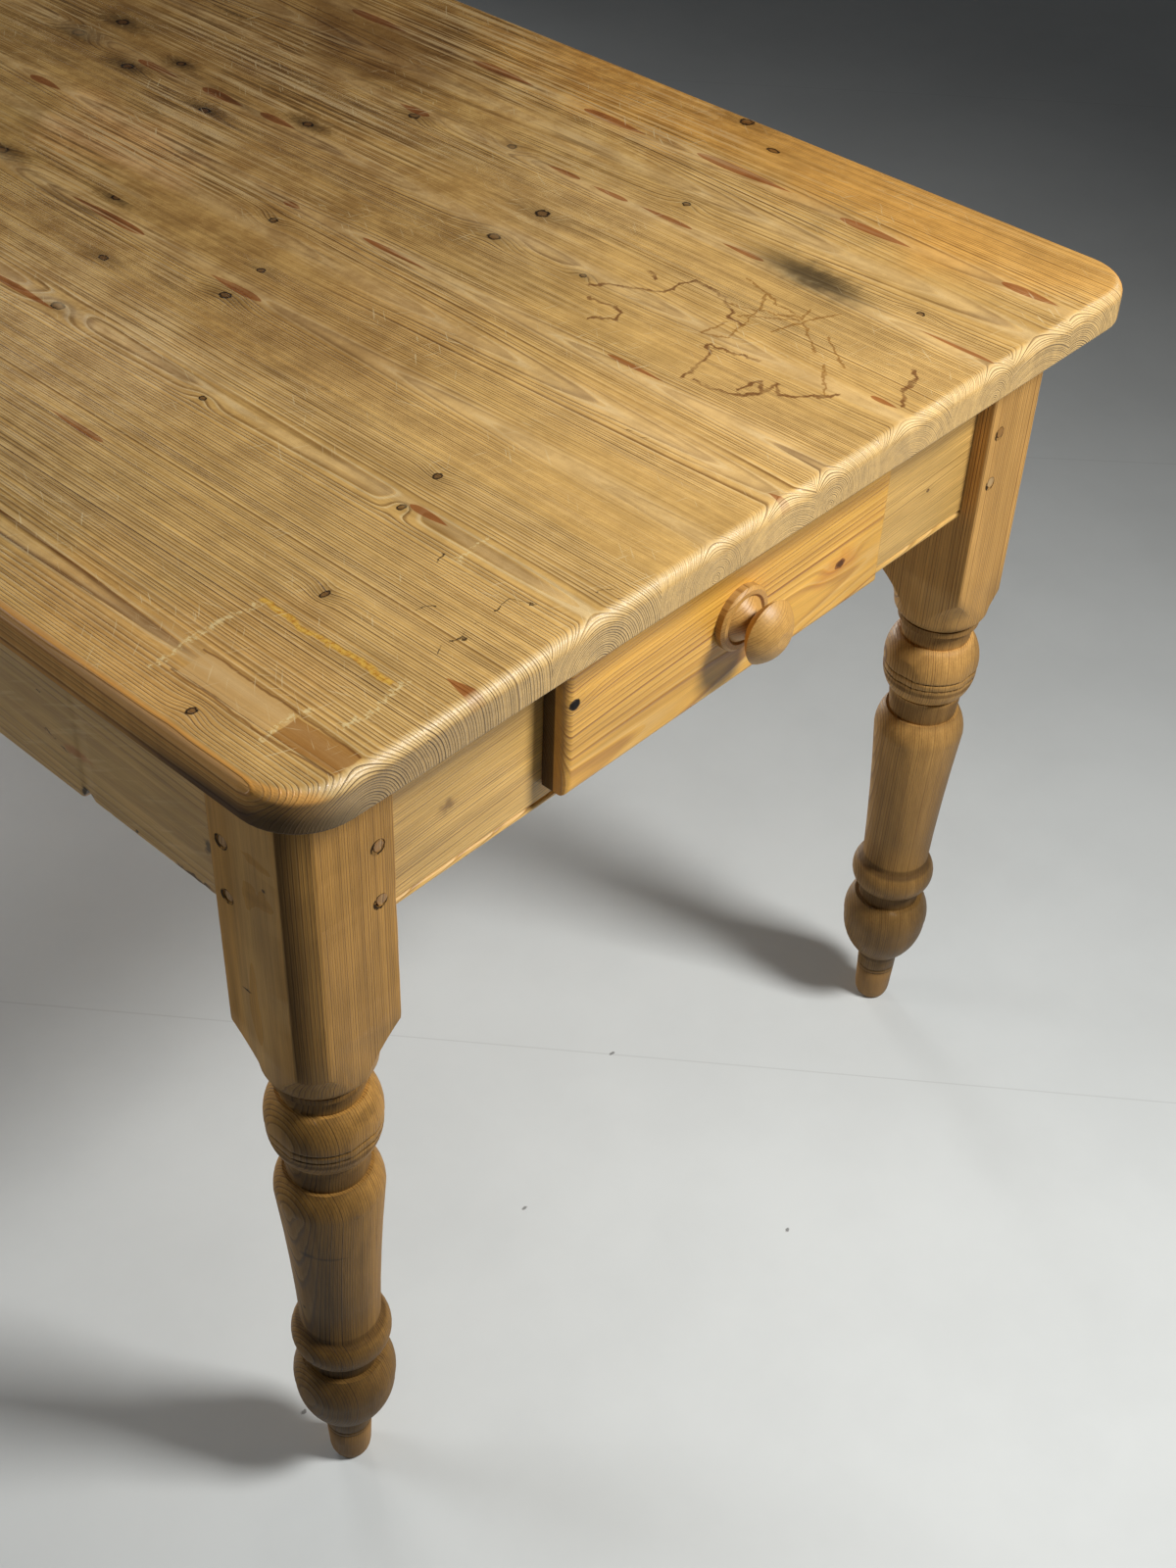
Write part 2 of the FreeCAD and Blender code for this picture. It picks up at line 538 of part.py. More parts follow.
# ---------------------------------------------------------------- inside the frame
def make_bearer(name, end):
    """A board across the frame that carries the inner ends of the drawer's runners."""
    reach = f"({SIDE_INSIDE}+Dims.stub_length)"
    near, far = f"({end}*{BEARER_FACE})", f"({end}*({BEARER_FACE}-Dims.bearer_thickness))"
    low_y, high_y = (near, far) if end < 0 else (far, near)
    plank = block(f"{name}_plank", (f"-{reach}", low_y, f"({APRON_Z}+Dims.bearer_rise)"),
                  (reach, high_y, TOP_UNDER))
    depth = f"({end}*({BEARER_FACE}-Dims.stub_length))"
    cut_low, cut_high = (near, depth) if end < 0 else (depth, near)
    stub_low = f"({RUNNER_LOW}+(Dims.runner_thickness-Dims.stub_height)/2)"
    tools = []
    for hand, word in ((-1, "left"), (1, "right")):
        near_x, far_x = RUNNER_NEAR, f"({RUNNER_NEAR}+Dims.runner_width)"
        kick_near, kick_far = f"({KICKER_FAR}-Dims.kicker_width)", KICKER_FAR
        if hand < 0:
            near_x, far_x = f"(-{far_x})", f"(-{near_x})"
            kick_near, kick_far = f"(-{kick_far})", f"(-{kick_near})"
        tools.append(block(f"{name}_stub_{word}", (near_x, cut_low, stub_low),
                           (far_x, cut_high, f"({stub_low}+Dims.stub_height)")))
        tools.append(block(f"{name}_kick_{word}",
                           (kick_near, cut_low, f"({TOP_UNDER}-Dims.kicker_thickness)"),
                           (kick_far, cut_high, TOP_UNDER)))
    keep(cut(f"{name}_board", plank, tools), name)


def make_track(where, side, end):
    """One side of a drawer's way: a runner under it, a guide beside and a kicker over it."""
    def span(inner, outer, sign):
        low, high = f"({sign}*{inner})", f"({sign}*{outer})"
        return (low, high) if sign > 0 else (high, low)

    y_low, y_high = span(BEARER_FACE, END_INSIDE, end)
    stub_y = span(f"({BEARER_FACE}-Dims.stub_length)", f"({END_INSIDE}+Dims.stub_length)", end)
    run_x = span(RUNNER_NEAR, f"({RUNNER_NEAR}+Dims.runner_width)", side)
    guide_x = span(OPENING_HALF, f"({OPENING_HALF}+Dims.guide_width)", side)
    kick_x = span(f"({KICKER_FAR}-Dims.kicker_width)", KICKER_FAR, side)
    stub_low = f"({RUNNER_LOW}+(Dims.runner_thickness-Dims.stub_height)/2)"
    strip = block(f"strip_{where}", (run_x[0], y_low, RUNNER_LOW),
                  (run_x[1], y_high, RUNNER_HIGH))
    stub = block(f"stub_{where}", (run_x[0], stub_y[0], stub_low),
                 (run_x[1], stub_y[1], f"({stub_low}+Dims.stub_height)"))
    keep(joined(f"runner_{where}_fused", [strip, stub]), f"runner_{where}")
    keep(block(f"guide_{where}_strip", (guide_x[0], y_low, RUNNER_HIGH),
               (guide_x[1], y_high, f"({RUNNER_HIGH}+Dims.guide_height)")), f"guide_{where}")
    keep(block(f"kicker_{where}_strip",
               (kick_x[0], stub_y[0], f"({TOP_UNDER}-Dims.kicker_thickness)"),
               (kick_x[1], stub_y[1], TOP_UNDER)), f"kicker_{where}")


def make_buttons(word, side):
    """The wooden buttons along one side apron, and the screws that hold them."""
    buttons, screws = [], []
    inner = f"({SIDE_INSIDE}-Dims.button_gap-Dims.button_length)"
    body_far = f"({SIDE_INSIDE}-Dims.button_gap)"
    tongue_far = f"({SIDE_INSIDE}+Dims.tongue_length)"
    for number, y in enumerate(button_places(), start=1):
        tag = f"{word}_{number}"
        y_low, y_high = f"({y}-Dims.button_width/2)", f"({y}+Dims.button_width/2)"
        ends = [(f"({side}*{inner})", f"({side}*{body_far})"),
                (f"({side}*{inner})", f"({side}*{tongue_far})")]
        if side < 0:
            ends = [(high, low) for low, high in ends]
        body = block(f"button_{tag}_body", (ends[0][0], y_low, SCREW_Z),
                     (ends[0][1], y_high, TOP_UNDER))
        tongue = block(f"button_{tag}_tongue", (ends[1][0], y_low, f"({APRON_Z}+{TONGUE_LOW})"),
                       (ends[1][1], y_high, f"({APRON_Z}+{TONGUE_HIGH})"))
        whole = joined(f"button_{tag}_whole", [body, tongue])
        centre = (f"{side}*{SCREW_X}", y, SCREW_Z)
        screws.append(joined(f"screw_{tag}", screw_shapes(f"screw_{tag}", centre)))
        buttons.append(cut(f"button_{tag}", whole, screw_shapes(f"hole_{tag}", centre)))
    keep(group(f"buttons_{word}_group", buttons), f"top_buttons_{word}")
    return screws


def screw_shapes(tag, centre):
    """The head and shank of a countersunk screw driven upwards."""
    head = doc.addObject("Part::Cone", f"{tag}_head")
    head.setExpression("Radius1", "Dims.screw_head_radius")
    head.setExpression("Radius2", "Dims.screw_radius")
    head.setExpression("Height", "Dims.screw_head_height")
    for letter, expression in zip("xyz", centre):
        head.setExpression(f"Placement.Base.{letter}", expression)
    shank = rod(f"{tag}_shank", "Dims.screw_radius", "Dims.screw_length", centre, (0, 0, 1))
    return [head, shank]


# ---------------------------------------------------------------- the drawers
def tail_corners(row):
    """One pin socket between tails, as (distance from the end, height) pairs."""
    pitch = f"(({BACK_HIGH}-{PANEL_HIGH})/{TAILS_PER_CORNER})"
    middle = f"({PANEL_HIGH}+({row}+0.5)*{pitch})"
    wide = "(Dims.pin_height/2)"
    narrow = f"({wide}-Dims.tail_slope)"
    return [("Dims.drawer_board", f"({middle}-{wide})"), ("Dims.drawer_board", f"({middle}+{wide})"),
            ("0", f"({middle}+{narrow})"), ("0", f"({middle}-{narrow})")]


def in_drawer(piece, end, x="0", y="0", z="0"):
    """Place a piece given in the drawer's own frame, whose Y runs back from its front."""
    sign = -end
    place(piece, f"{sign}*({x})", f"({end}*({END_FACE}+Dims.drawer_gap)+{sign}*({y}))",
          f"({DRAWER_Z}+{z})", turned=end > 0)


def make_drawer_front(prefix, end):
    """The lipped front, keyed to the sides and grooved for the bottom panel."""
    front = new_body(f"{prefix}_front")
    half = "(Dims.drawer_width/2)"
    face = sketch_on(front, "face", "XZ_Plane")
    rectangle(face, f"-{half}", half, "0", "Dims.drawer_height")
    feature(front, "Pad", "board", face, "Dims.drawer_thickness")
    forward = -size_of("Dims.drawer_thickness")

    def on_the_face(edge):
        box = edge.BoundBox
        return abs(box.YMin - forward) < SAME_PLACE and abs(box.YMax - forward) < SAME_PLACE

    rounded(front, "round", "Dims.drawer_round", on_the_face)
    sockets = sketch_on(front, "sockets", "XY_Plane")
    for hand in (-1, 1):
        middle = f"({BOX_HALF}-Dims.drawer_board/2)"
        neck = "(Dims.key_neck/2+Dims.key_play)"
        wide = "(Dims.drawer_board/2+Dims.key_play)"
        deep = "(-Dims.key_depth-Dims.key_play)"
        outline(sockets, [(f"{hand}*({middle}-{neck})", "0"), (f"{hand}*({middle}+{neck})", "0"),
                          (f"{hand}*({middle}+{wide})", deep), (f"{hand}*({middle}-{wide})", deep)])
    feature(front, "Pocket", "socket_cut", sockets, SIDE_HIGH, reverse=True)
    groove = sketch_on(front, "panel_groove", "XZ_Plane")
    reach = f"({BOX_INSIDE}+Dims.key_play)"
    rectangle(groove, f"-{reach}", reach, PANEL_LOW, PANEL_HIGH)
    feature(front, "Pocket", "panel_cut", groove, "(Dims.panel_groove+Dims.panel_play)",
            reverse=True)
    bore = sketch_on(front, "knob_bore", "XZ_Plane")
    circle(bore, "0", "Dims.knob_height", "Dims.screw_radius")
    feature(front, "Pocket", "bore_cut", bore, "Dims.drawer_thickness", reverse=True)
    in_drawer(front, end)
    keep(front, f"{prefix}_front")


def make_drawer_side(prefix, end, hand, word):
    """A drawer side with its key in front, its tails behind and the panel's groove."""
    side = new_body(f"{prefix}_side_{word}")
    outer, inner = f"({hand}*{BOX_HALF})", f"({hand}*{BOX_INSIDE})"
    length = "Dims.drawer_depth"
    profile = sketch_on(side, "profile", "YZ_Plane", inner)
    corners = [("0", SIDE_LOW), (length, SIDE_LOW)]
    for row in range(TAILS_PER_CORNER):
        foot_low, foot_high, mouth_high, mouth_low = [
            (f"({length}-{back})", height) for back, height in tail_corners(row)]
        corners += [mouth_low, foot_low, foot_high, mouth_high]
    corners += [(length, SIDE_HIGH), ("0", SIDE_HIGH)]
    outline(profile, corners)
    feature(side, "Pad", "board", profile, "Dims.drawer_board", reverse=hand < 0)
    key = sketch_on(side, "key", "XY_Plane", SIDE_LOW)
    middle = f"({hand}*({BOX_HALF}-Dims.drawer_board/2))"
    neck, wide = "(Dims.key_neck/2)", "(Dims.drawer_board/2)"
    outline(key, [(f"({middle}-{neck})", "0"), (f"({middle}+{neck})", "0"),
                  (f"({middle}+{wide})", "-Dims.key_depth"),
                  (f"({middle}-{wide})", "-Dims.key_depth")])
    feature(side, "Pad", "key_pad", key, f"({SIDE_HIGH}-{SIDE_LOW})")
    groove = sketch_on(side, "groove", "YZ_Plane", inner)
    rectangle(groove, "0", length, PANEL_LOW, PANEL_HIGH)
    feature(side, "Pocket", "groove_cut", groove, "Dims.panel_groove", reverse=hand > 0)
    in_drawer(side, end)
    keep(side, f"{prefix}_side_{word}")


def make_drawer_back(prefix, end):
    """The back, whose pins pass right through the sides."""
    back = new_body(f"{prefix}_back")
    board = sketch_on(back, "board", "YZ_Plane")
    rectangle(board, "-Dims.drawer_board", "0", PANEL_HIGH, BACK_HIGH)
    board_pad = feature(back, "Pad", "between_sides", board, f"(2*{BOX_INSIDE})")
    board_pad.Midplane = True
    pins = sketch_on(back, "pins", "YZ_Plane")
    for row in range(TAILS_PER_CORNER):
        outline(pins, [(f"(-{distance})", height) for distance, height in tail_corners(row)])
    pin_pad = feature(back, "Pad", "pin_pad", pins, f"(2*{BOX_HALF})")
    pin_pad.Midplane = True
    in_drawer(back, end, y="Dims.drawer_depth")
    keep(back, f"{prefix}_back")


def make_drawer_panel(prefix, end):
    """The thin bottom, slid in from behind under the drawer's back."""
    panel = new_body(f"{prefix}_bottom")
    plan = sketch_on(panel, "plan", "XY_Plane", PANEL_LOW)
    half = f"({BOX_INSIDE}+Dims.panel_groove-Dims.panel_play)"
    inside = f"({BOX_INSIDE}-Dims.panel_play)"
    outline(plan, [(f"-{half}", "Dims.panel_play"), (f"-{inside}", "Dims.panel_play"),
                   (f"-{inside}", "-Dims.panel_groove"), (inside, "-Dims.panel_groove"),
                   (inside, "Dims.panel_play"), (half, "Dims.panel_play"),
                   (half, "Dims.drawer_depth"), (f"-{half}", "Dims.drawer_depth")])
    feature(panel, "Pad", "sheet", plan, "Dims.panel_thickness")
    in_drawer(panel, end)
    keep(panel, f"{prefix}_bottom")


def make_knob(prefix, end):
    """A turned knob: a stepped foot, a neck and a flattened ball."""
    knob = new_body(f"{prefix}_knob")
    half = sketch_on(knob, "profile", "XY_Plane")
    foot, step, chamfer = "Dims.knob_foot_thickness", "Dims.knob_step", "Dims.knob_chamfer"
    neck, head, crown = "Dims.knob_neck_radius", "Dims.knob_head_radius", "Dims.knob_crown_radius"
    under = ball_bend(neck, head, "(Dims.knob_head_reach-Dims.knob_neck_reach)")
    over = ball_bend(head, crown, "(Dims.knob_reach-Dims.knob_head_reach)")
    outline(half, [
        ("0", "0"), ("Dims.knob_foot_radius", "0"),
        ("Dims.knob_foot_radius", f"-({foot}-{chamfer})"),
        (f"(Dims.knob_foot_radius-{chamfer})", f"-{foot}"),
        (f"(Dims.knob_step_radius+{step})", f"-{foot}"),
        ("Dims.knob_step_radius", f"-({foot}-{step})"),
        (neck, "-Dims.knob_neck_reach"),
        (head, "-Dims.knob_head_reach", f"(-{under})"),
        (crown, "-Dims.knob_reach", f"(-{over})"),
        ("0", "-Dims.knob_reach"),
    ])
    turned(knob, "Revolution", "turning", half, "V_Axis")
    bore = sketch_on(knob, "bore", "XZ_Plane")
    circle(bore, "0", "0", "Dims.screw_radius")
    feature(knob, "Pocket", "bore_cut", bore, "Dims.knob_screw_bite", reverse=True)
    in_drawer(knob, end, y="-Dims.drawer_thickness", z="Dims.knob_height")
    keep(knob, f"{prefix}_knob")


def make_knob_screw(prefix, end):
    """The screw that holds the knob from inside the drawer."""
    screw = new_body(f"{prefix}_knob_screw")
    half = sketch_on(screw, "profile", "XY_Plane")
    tip = "-(Dims.drawer_thickness+Dims.knob_screw_bite)"
    outline(half, [("0", tip), ("Dims.screw_radius", tip), ("Dims.screw_radius", "0"),
                   ("Dims.screw_head_radius", "0"),
                   ("Dims.screw_radius", "Dims.screw_head_height"),
                   ("0", "Dims.screw_head_height")])
    turned(screw, "Revolution", "turning", half, "V_Axis")
    in_drawer(screw, end, z="Dims.knob_height")
    keep(screw, f"{prefix}_knob_screw")


# ---------------------------------------------------------------- put together
SIDES = ((-1, "left"), (1, "right"))
ENDS = ((-1, "front"), (1, "back"))

make_top()
for end, end_word in ENDS:
    for side, side_word in SIDES:
        make_leg(f"leg_{end_word}_{side_word}", side, end)
        make_pegs(f"pegs_{end_word}_{side_word}", side, end)
        make_track(f"{end_word}_{side_word}", side, end)
    make_end_apron(f"apron_{end_word}", turned_round=end > 0)
    make_bearer(f"bearer_{end_word}", end)
    drawer = f"{end_word}_drawer"
    make_drawer_front(drawer, end)
    for hand, hand_word in SIDES:
        make_drawer_side(drawer, end, hand, hand_word)
    make_drawer_back(drawer, end)
    make_drawer_panel(drawer, end)
    make_knob(drawer, end)
    make_knob_screw(drawer, end)
button_screws = []
for side, side_word in SIDES:
    make_side_apron(f"apron_{side_word}", turned_round=side > 0)
    button_screws += make_buttons(side_word, side)
keep(group("button_screws_group", button_screws), "button_screws")
doc.recompute()

# ---------------------------------------------------------------- check and write
for item in doc.Objects:
    if "Invalid" in item.State or "Error" in item.State:
        raise RuntimeError(f"{item.Label} failed: {item.State}")
    if item.TypeId in ("PartDesign::Pocket", "PartDesign::Groove"):
        if item.Shape.Volume > item.BaseFeature.Shape.Volume - 1e-3:
            raise RuntimeError(f"{item.Name} cuts nothing")
for node in NODES:
    if node.Shape.isNull() or not node.Shape.isValid():
        raise RuntimeError(f"{node.Label} has no valid shape")
for node in NODES:
    node.Shape.exportStep(os.path.join("parts", node.Label + ".step"))
print(len(NODES), "parts written")
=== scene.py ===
# %% [markdown]
# # An old pine kitchen table with turned legs
#
# The table is a farmhouse one: a top of ten narrow boards, four turned legs, beaded aprons
# and a drawer in each end.  The wood is old, waxed and marked by use.  This lesson dresses
# the solid model, piece by piece, in wood that is built from rules: growth rings round a
# heart, knots that push the rings aside, and the marks that a kitchen leaves.

import json
import math

import bmesh
import bpy
from mathutils import Matrix, Vector, noise

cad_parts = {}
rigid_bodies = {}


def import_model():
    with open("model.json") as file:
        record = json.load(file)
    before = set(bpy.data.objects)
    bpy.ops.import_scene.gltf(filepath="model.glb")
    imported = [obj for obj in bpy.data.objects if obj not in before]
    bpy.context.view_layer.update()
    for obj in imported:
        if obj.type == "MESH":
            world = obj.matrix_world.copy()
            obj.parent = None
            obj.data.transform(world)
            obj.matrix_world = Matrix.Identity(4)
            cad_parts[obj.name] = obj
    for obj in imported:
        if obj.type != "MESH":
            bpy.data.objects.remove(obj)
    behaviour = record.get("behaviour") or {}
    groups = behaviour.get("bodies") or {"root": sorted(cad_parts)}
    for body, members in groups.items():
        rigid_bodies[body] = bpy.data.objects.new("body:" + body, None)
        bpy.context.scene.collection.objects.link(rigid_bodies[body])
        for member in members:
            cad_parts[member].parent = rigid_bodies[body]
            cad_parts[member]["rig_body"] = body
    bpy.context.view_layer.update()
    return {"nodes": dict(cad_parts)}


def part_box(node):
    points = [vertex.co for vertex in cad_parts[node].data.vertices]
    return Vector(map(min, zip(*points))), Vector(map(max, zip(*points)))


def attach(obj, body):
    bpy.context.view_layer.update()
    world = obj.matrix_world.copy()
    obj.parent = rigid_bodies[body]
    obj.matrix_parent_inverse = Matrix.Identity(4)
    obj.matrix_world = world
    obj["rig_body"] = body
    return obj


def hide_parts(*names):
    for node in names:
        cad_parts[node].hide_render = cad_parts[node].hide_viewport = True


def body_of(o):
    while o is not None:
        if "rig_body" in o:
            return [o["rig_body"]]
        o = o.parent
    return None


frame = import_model()
nodes = frame["nodes"]
slots = {name: solid.material_slots[0].name for name, solid in nodes.items()}
scene = bpy.context.scene

# %% [markdown]
# ## Camera
#
# A camera could be aimed with a Track To constraint, but a fixed place and two directions
# are easier to reason about: where the eye is, where it looks, and which way is up in the
# picture.  The lens is given for a 36 mm sensor along the picture's long side.

# %% Set the camera
EYE = Vector((-0.8813, -1.3726, 1.4729))
LOOK = Vector((0.5623, 0.4908, -0.6655))
PICTURE_UP = Vector((0.4721, 0.4702, 0.7457))
FOCAL_LENGTH = 47.49


def make_camera():
    """A camera at the eye, turned by three right-angled directions."""
    data = bpy.data.cameras.new("camera")
    data.lens = FOCAL_LENGTH
    data.sensor_width = 36
    data.clip_start, data.clip_end = 0.05, 60
    camera = bpy.data.objects.new("camera", data)
    scene.collection.objects.link(camera)
    right = LOOK.cross(PICTURE_UP).normalized()
    up = right.cross(LOOK).normalized()
    turn = Matrix((right, up, -LOOK.normalized())).transposed()
    camera.matrix_world = Matrix.Translation(EYE) @ turn.to_4x4()
    scene.camera = camera
    return camera


camera = make_camera()
scene.view_settings.view_transform = "Standard"
print("camera", round((camera.location - Vector((0, 0, 0.7))).length, 2), "m from the table")

# %% [markdown]
# ## Light
#
# The table stands in a plain studio.  A soft lamp high in front of the drawer lights the end
# and the near half of the top, a weaker one far behind on the left gives the long side its
# form, and a low one behind on the right reaches the far legs.  Narrowing a lamp's spread
# keeps its light off the far floor, as a grid does.

# %% Set the lamps and the sky
SKY_LEVEL = 0.04
LAMPS = {
    # place, aim, width and height, watts, spread in degrees, colour
    "key": ((0.61, -1.97, 2.1), (0.06, -1.08, 0.3), (0.50, 0.50), 18.0, 97, (1, 0.985, 0.96)),
    "left": ((-1.6, 1.9, 1.5), (0.2, -0.4, 0.3), (1.0, 1.0), 11, 120, (0.97, 0.98, 1)),
    "right": ((1.5, 2.9, 0.42), (0, 0.3, 0.42), (1.2, 0.6), 14, 60, (1, 1, 1))}


def area_lamp(name, place, aim, size, power, spread, colour):
    """A rectangular lamp at a place, turned to an aim, that the camera can't see."""
    data = bpy.data.lights.new(name, "AREA")
    data.shape = "RECTANGLE"
    data.size, data.size_y = size
    data.energy = power
    data.spread = math.radians(spread)
    data.color = colour
    lamp = bpy.data.objects.new(name, data)
    scene.collection.objects.link(lamp)
    lamp.location = place
    lamp.rotation_euler = (Vector(place) - Vector(aim)).to_track_quat("Z", "Y").to_euler()
    lamp.visible_camera = False



    """The same dim light from every side."""
def even_sky(level):
    world = bpy.data.worlds.new("studio")
    world.use_nodes = True
    background = world.node_tree.nodes["Background"]
    background.inputs["Color"].default_value = (0.96, 0.98, 1, 1)
    background.inputs["Strength"].default_value = level
    scene.world = world


for lamp_name, settings in LAMPS.items():
    area_lamp(lamp_name, *settings)
even_sky(SKY_LEVEL)
print(len(LAMPS), "lamps")

# %% [markdown]
# ## Wiring helpers
#
# A wood needs some hundred shader nodes.  Placing each by hand would hide the idea, so a
# small class gives every kind of node a short call that returns the socket of its result.

# %% A short way to write node trees
NUMBER, PLACE = "NodeSocketFloat", "NodeSocketVector"


class Wiring:
    """Adds nodes to one tree; each call but add returns the socket that carries the result."""

    def __init__(self, tree):
        self.tree = tree

    def add(self, kind, inputs=None, **settings):
        """A node of one kind, with its settings made and its inputs fed."""
        node = self.tree.nodes.new(kind)
        for name, value in settings.items():
            setattr(node, name, value)
        for key, value in (inputs or {}).items():
            self.feed(value, node.inputs[key])
        return node

    def feed(self, value, socket):
        """Link a result to an input, or set a plain value on it."""
        if isinstance(value, bpy.types.NodeSocket):
            self.tree.links.new(value, socket)
        else:
            socket.default_value = value

    def math(self, operation, first, second=0.0, third=0.0, clamp=False):
        settings = {"operation": operation, "use_clamp": clamp}
        return self.add("ShaderNodeMath", {0: first, 1: second, 2: third}, **settings).outputs[0]

    def times(self, first, *others):
        """The product of two or more numbers."""
        for other in others:
            first = self.math("MULTIPLY", first, other)
        return first

    def away(self, first, second):
        """How far apart two numbers are."""
        return self.math("ABSOLUTE", self.math("SUBTRACT", first, second))

    def slope(self, value, low, high, start=0.0, end=1.0):
        """A smooth step from start to end while the value goes from low to high."""
        names = ("Value", "From Min", "From Max", "To Min", "To Max")
        inputs = dict(zip(names, (value, low, high, start, end)))
        return self.add("ShaderNodeMapRange", inputs, interpolation_type="SMOOTHSTEP").outputs[0]

    def fall(self, value, low, high):
        """A smooth step from 1 down to 0 while the value goes from low to high."""
        return self.slope(value, low, high, 1.0, 0.0)

    def vector(self, operation, first, second=(0, 0, 0)):
        node = self.add("ShaderNodeVectorMath", {0: first, 1: second}, operation=operation)
        return node.outputs["Value" if operation in ("LENGTH", "DOT_PRODUCT") else "Vector"]

    def scaled(self, vector, amount):
        inputs = {0: vector, "Scale": amount}
        return self.add("ShaderNodeVectorMath", inputs, operation="SCALE").outputs[0]

    def turned(self, vector, angle, axis="Z"):
        inputs = {"Vector": vector, "Angle": angle}
        kind = f"{axis}_AXIS"
        return self.add("ShaderNodeVectorRotate", inputs, rotation_type=kind).outputs[0]

    def parts(self, vector):
        """A vector's X, Y and Z, by letter."""
        return self.add("ShaderNodeSeparateXYZ", {0: vector}).outputs

    def joined(self, **parts):
        """A vector from the parts given by letter; the others are 0."""
        return self.add("ShaderNodeCombineXYZ", parts).outputs[0]

    def normal(self):
        """The way that the surface faces."""
        return self.add("ShaderNodeNewGeometry").outputs["Normal"]

    def noise(self, place, stretch, detail=2.0, roughness=0.5, shift=(0, 0, 0), output="Fac"):
        """Noise about 0.5; stretch is its number of waves per metre along each axis."""
        mapping = {"Vector": place, "Scale": stretch, "Location": shift}
        moved = self.add("ShaderNodeMapping", mapping).outputs[0]
        inputs = {"Vector": moved, "Scale": 1.0, "Detail": detail, "Roughness": roughness}
        return self.add("ShaderNodeTexNoise", inputs).outputs[output]

    def drift(self, place, stretch, detail, roughness=0.5):
        """A push about nought, by noise, along each axis."""
        push = self.noise(place, stretch, detail, roughness, output="Color")
        return self.vector("SUBTRACT", push, (0.5, 0.5, 0.5))

    def stirred(self, value, noise, reach):
        """A number moved up and down by noise, half the reach each way at most."""
        return self.math("MULTIPLY_ADD", self.math("SUBTRACT", noise, 0.5), reach, value)

    def chance(self, value):
        return self.add("ShaderNodeTexWhiteNoise", {"W": value}, noise_dimensions="1D").outputs[0]

    def group(self, tree, **inputs):
        return self.add("ShaderNodeGroup", inputs, node_tree=tree).outputs

    def blend(self, amount, first, second):
        return self.add("ShaderNodeMix", {0: amount, 2: first, 3: second}).outputs[0]

    def tint(self, amount, base, colour, mode="MIX"):
        inputs = {0: amount, 6: base, 7: colour}
        node = self.add("ShaderNodeMix", inputs, data_type="RGBA", blend_type=mode)
        return node.outputs[2]


def paint(red, green, blue):
    """A colour given as 0-255 screen values, as the linear one that shaders use."""
    def linear(value):
        value /= 255
        return value / 12.92 if value <= 0.04045 else ((value + 0.055) / 1.055) ** 2.4

    return (linear(red), linear(green), linear(blue), 1.0)


def new_group(name, inputs, outputs):
    """An empty shader group; an input's kind follows from its default, and outputs are numbers."""
    group = bpy.data.node_groups.new(name, "ShaderNodeTree")
    for label, default in {"Place": (0, 0, 0), **inputs}.items():
        kind = PLACE if isinstance(default, tuple) else NUMBER
        socket = group.interface.new_socket(label, in_out="INPUT", socket_type=kind)
        socket.default_value = default
    for label in outputs:
        group.interface.new_socket(label, in_out="OUTPUT", socket_type=NUMBER)
    wiring = Wiring(group)
    return group, wiring, wiring.add("NodeGroupInput").outputs, wiring.add("NodeGroupOutput").inputs


def count(*trees):
    """Print how many nodes each tree has."""
    print(", ".join(f"{tree.name}: {len(tree.nodes)} nodes" for tree in trees))


print("screen grey 128 is", round(paint(128, 128, 128)[0], 3), "in linear light")

# %% [markdown]
# ## Growth rings
#
# A board is a slice of a tree, so its figure is a slice of nested cones.  The rings here are
# a distance from the tree's heart, cut by the board's faces: a heart under the middle of a
# board gives flames, and one far to the side gives straight lines.  An image of wood could be
# wrapped round each piece instead, but then end grain and faces would never agree.

# %% The growth ring group
def growth_ring_group():
    """Rings round a leaning heart, with dry spells and years of unlike strength."""
    inputs = {"Heart": (0, 0, 0), "Lean": (0, 0, 0), "Spacing": 0.003, "Wander": 0.01,
              "Bulge": 0.0, "Start": 0.0}
    group, w, given, made = new_group("growth rings", inputs, ("Late", "Ridge Sheen"))
    place = given["Place"]

    def spells(years, pace, detail):
        """Slow noise that runs from year to year."""
        inputs = {"W": w.times(years, pace), "Scale": 1.0, "Detail": detail}
        return w.add("ShaderNodeTexNoise", inputs, noise_dimensions="1D").outputs["Fac"]

    along = w.parts(place)["Z"]
    drift = w.drift(place, (2.5, 2.5, 1.6), 1.5)
    from_heart = w.vector("SUBTRACT", place, given["Heart"])
    from_heart = w.vector("SUBTRACT", from_heart, w.scaled(given["Lean"], along))
    from_heart = w.vector("ADD", from_heart, w.scaled(drift, given["Wander"]))
    radius = w.vector("LENGTH", w.vector("MULTIPLY", from_heart, (1, 1, 0)))
    radius = w.stirred(radius, w.noise(place, (30, 30, 5)), 0.0011)
    radius = w.math("ADD", radius, given["Bulge"])
    years = w.math("ADD", w.math("DIVIDE", radius, given["Spacing"]), given["Start"])
    years = w.math("MULTIPLY_ADD", spells(years, 0.31, 1.0), 1.4, years)
    season = w.math("FRACT", years)
    late = w.times(w.slope(season, 0.56, 0.84), w.fall(season, 0.9, 0.99))
    strength = w.times(w.slope(w.chance(w.math("FLOOR", years)), 0.0, 1.0, 0.5, 1.0),
                       w.slope(spells(years, 0.4, 0.0), 0.3, 0.6, 0.5, 1.0))
    w.feed(w.times(late, strength), made["Late"])
    # The band just after each dark line, where a painted highlight stands for the sheen on the
    # ridges.
    w.feed(w.fall(season, 0.02, 0.3), made["Ridge Sheen"])
    return group


GROWTH_RINGS = growth_ring_group()
count(GROWTH_RINGS)

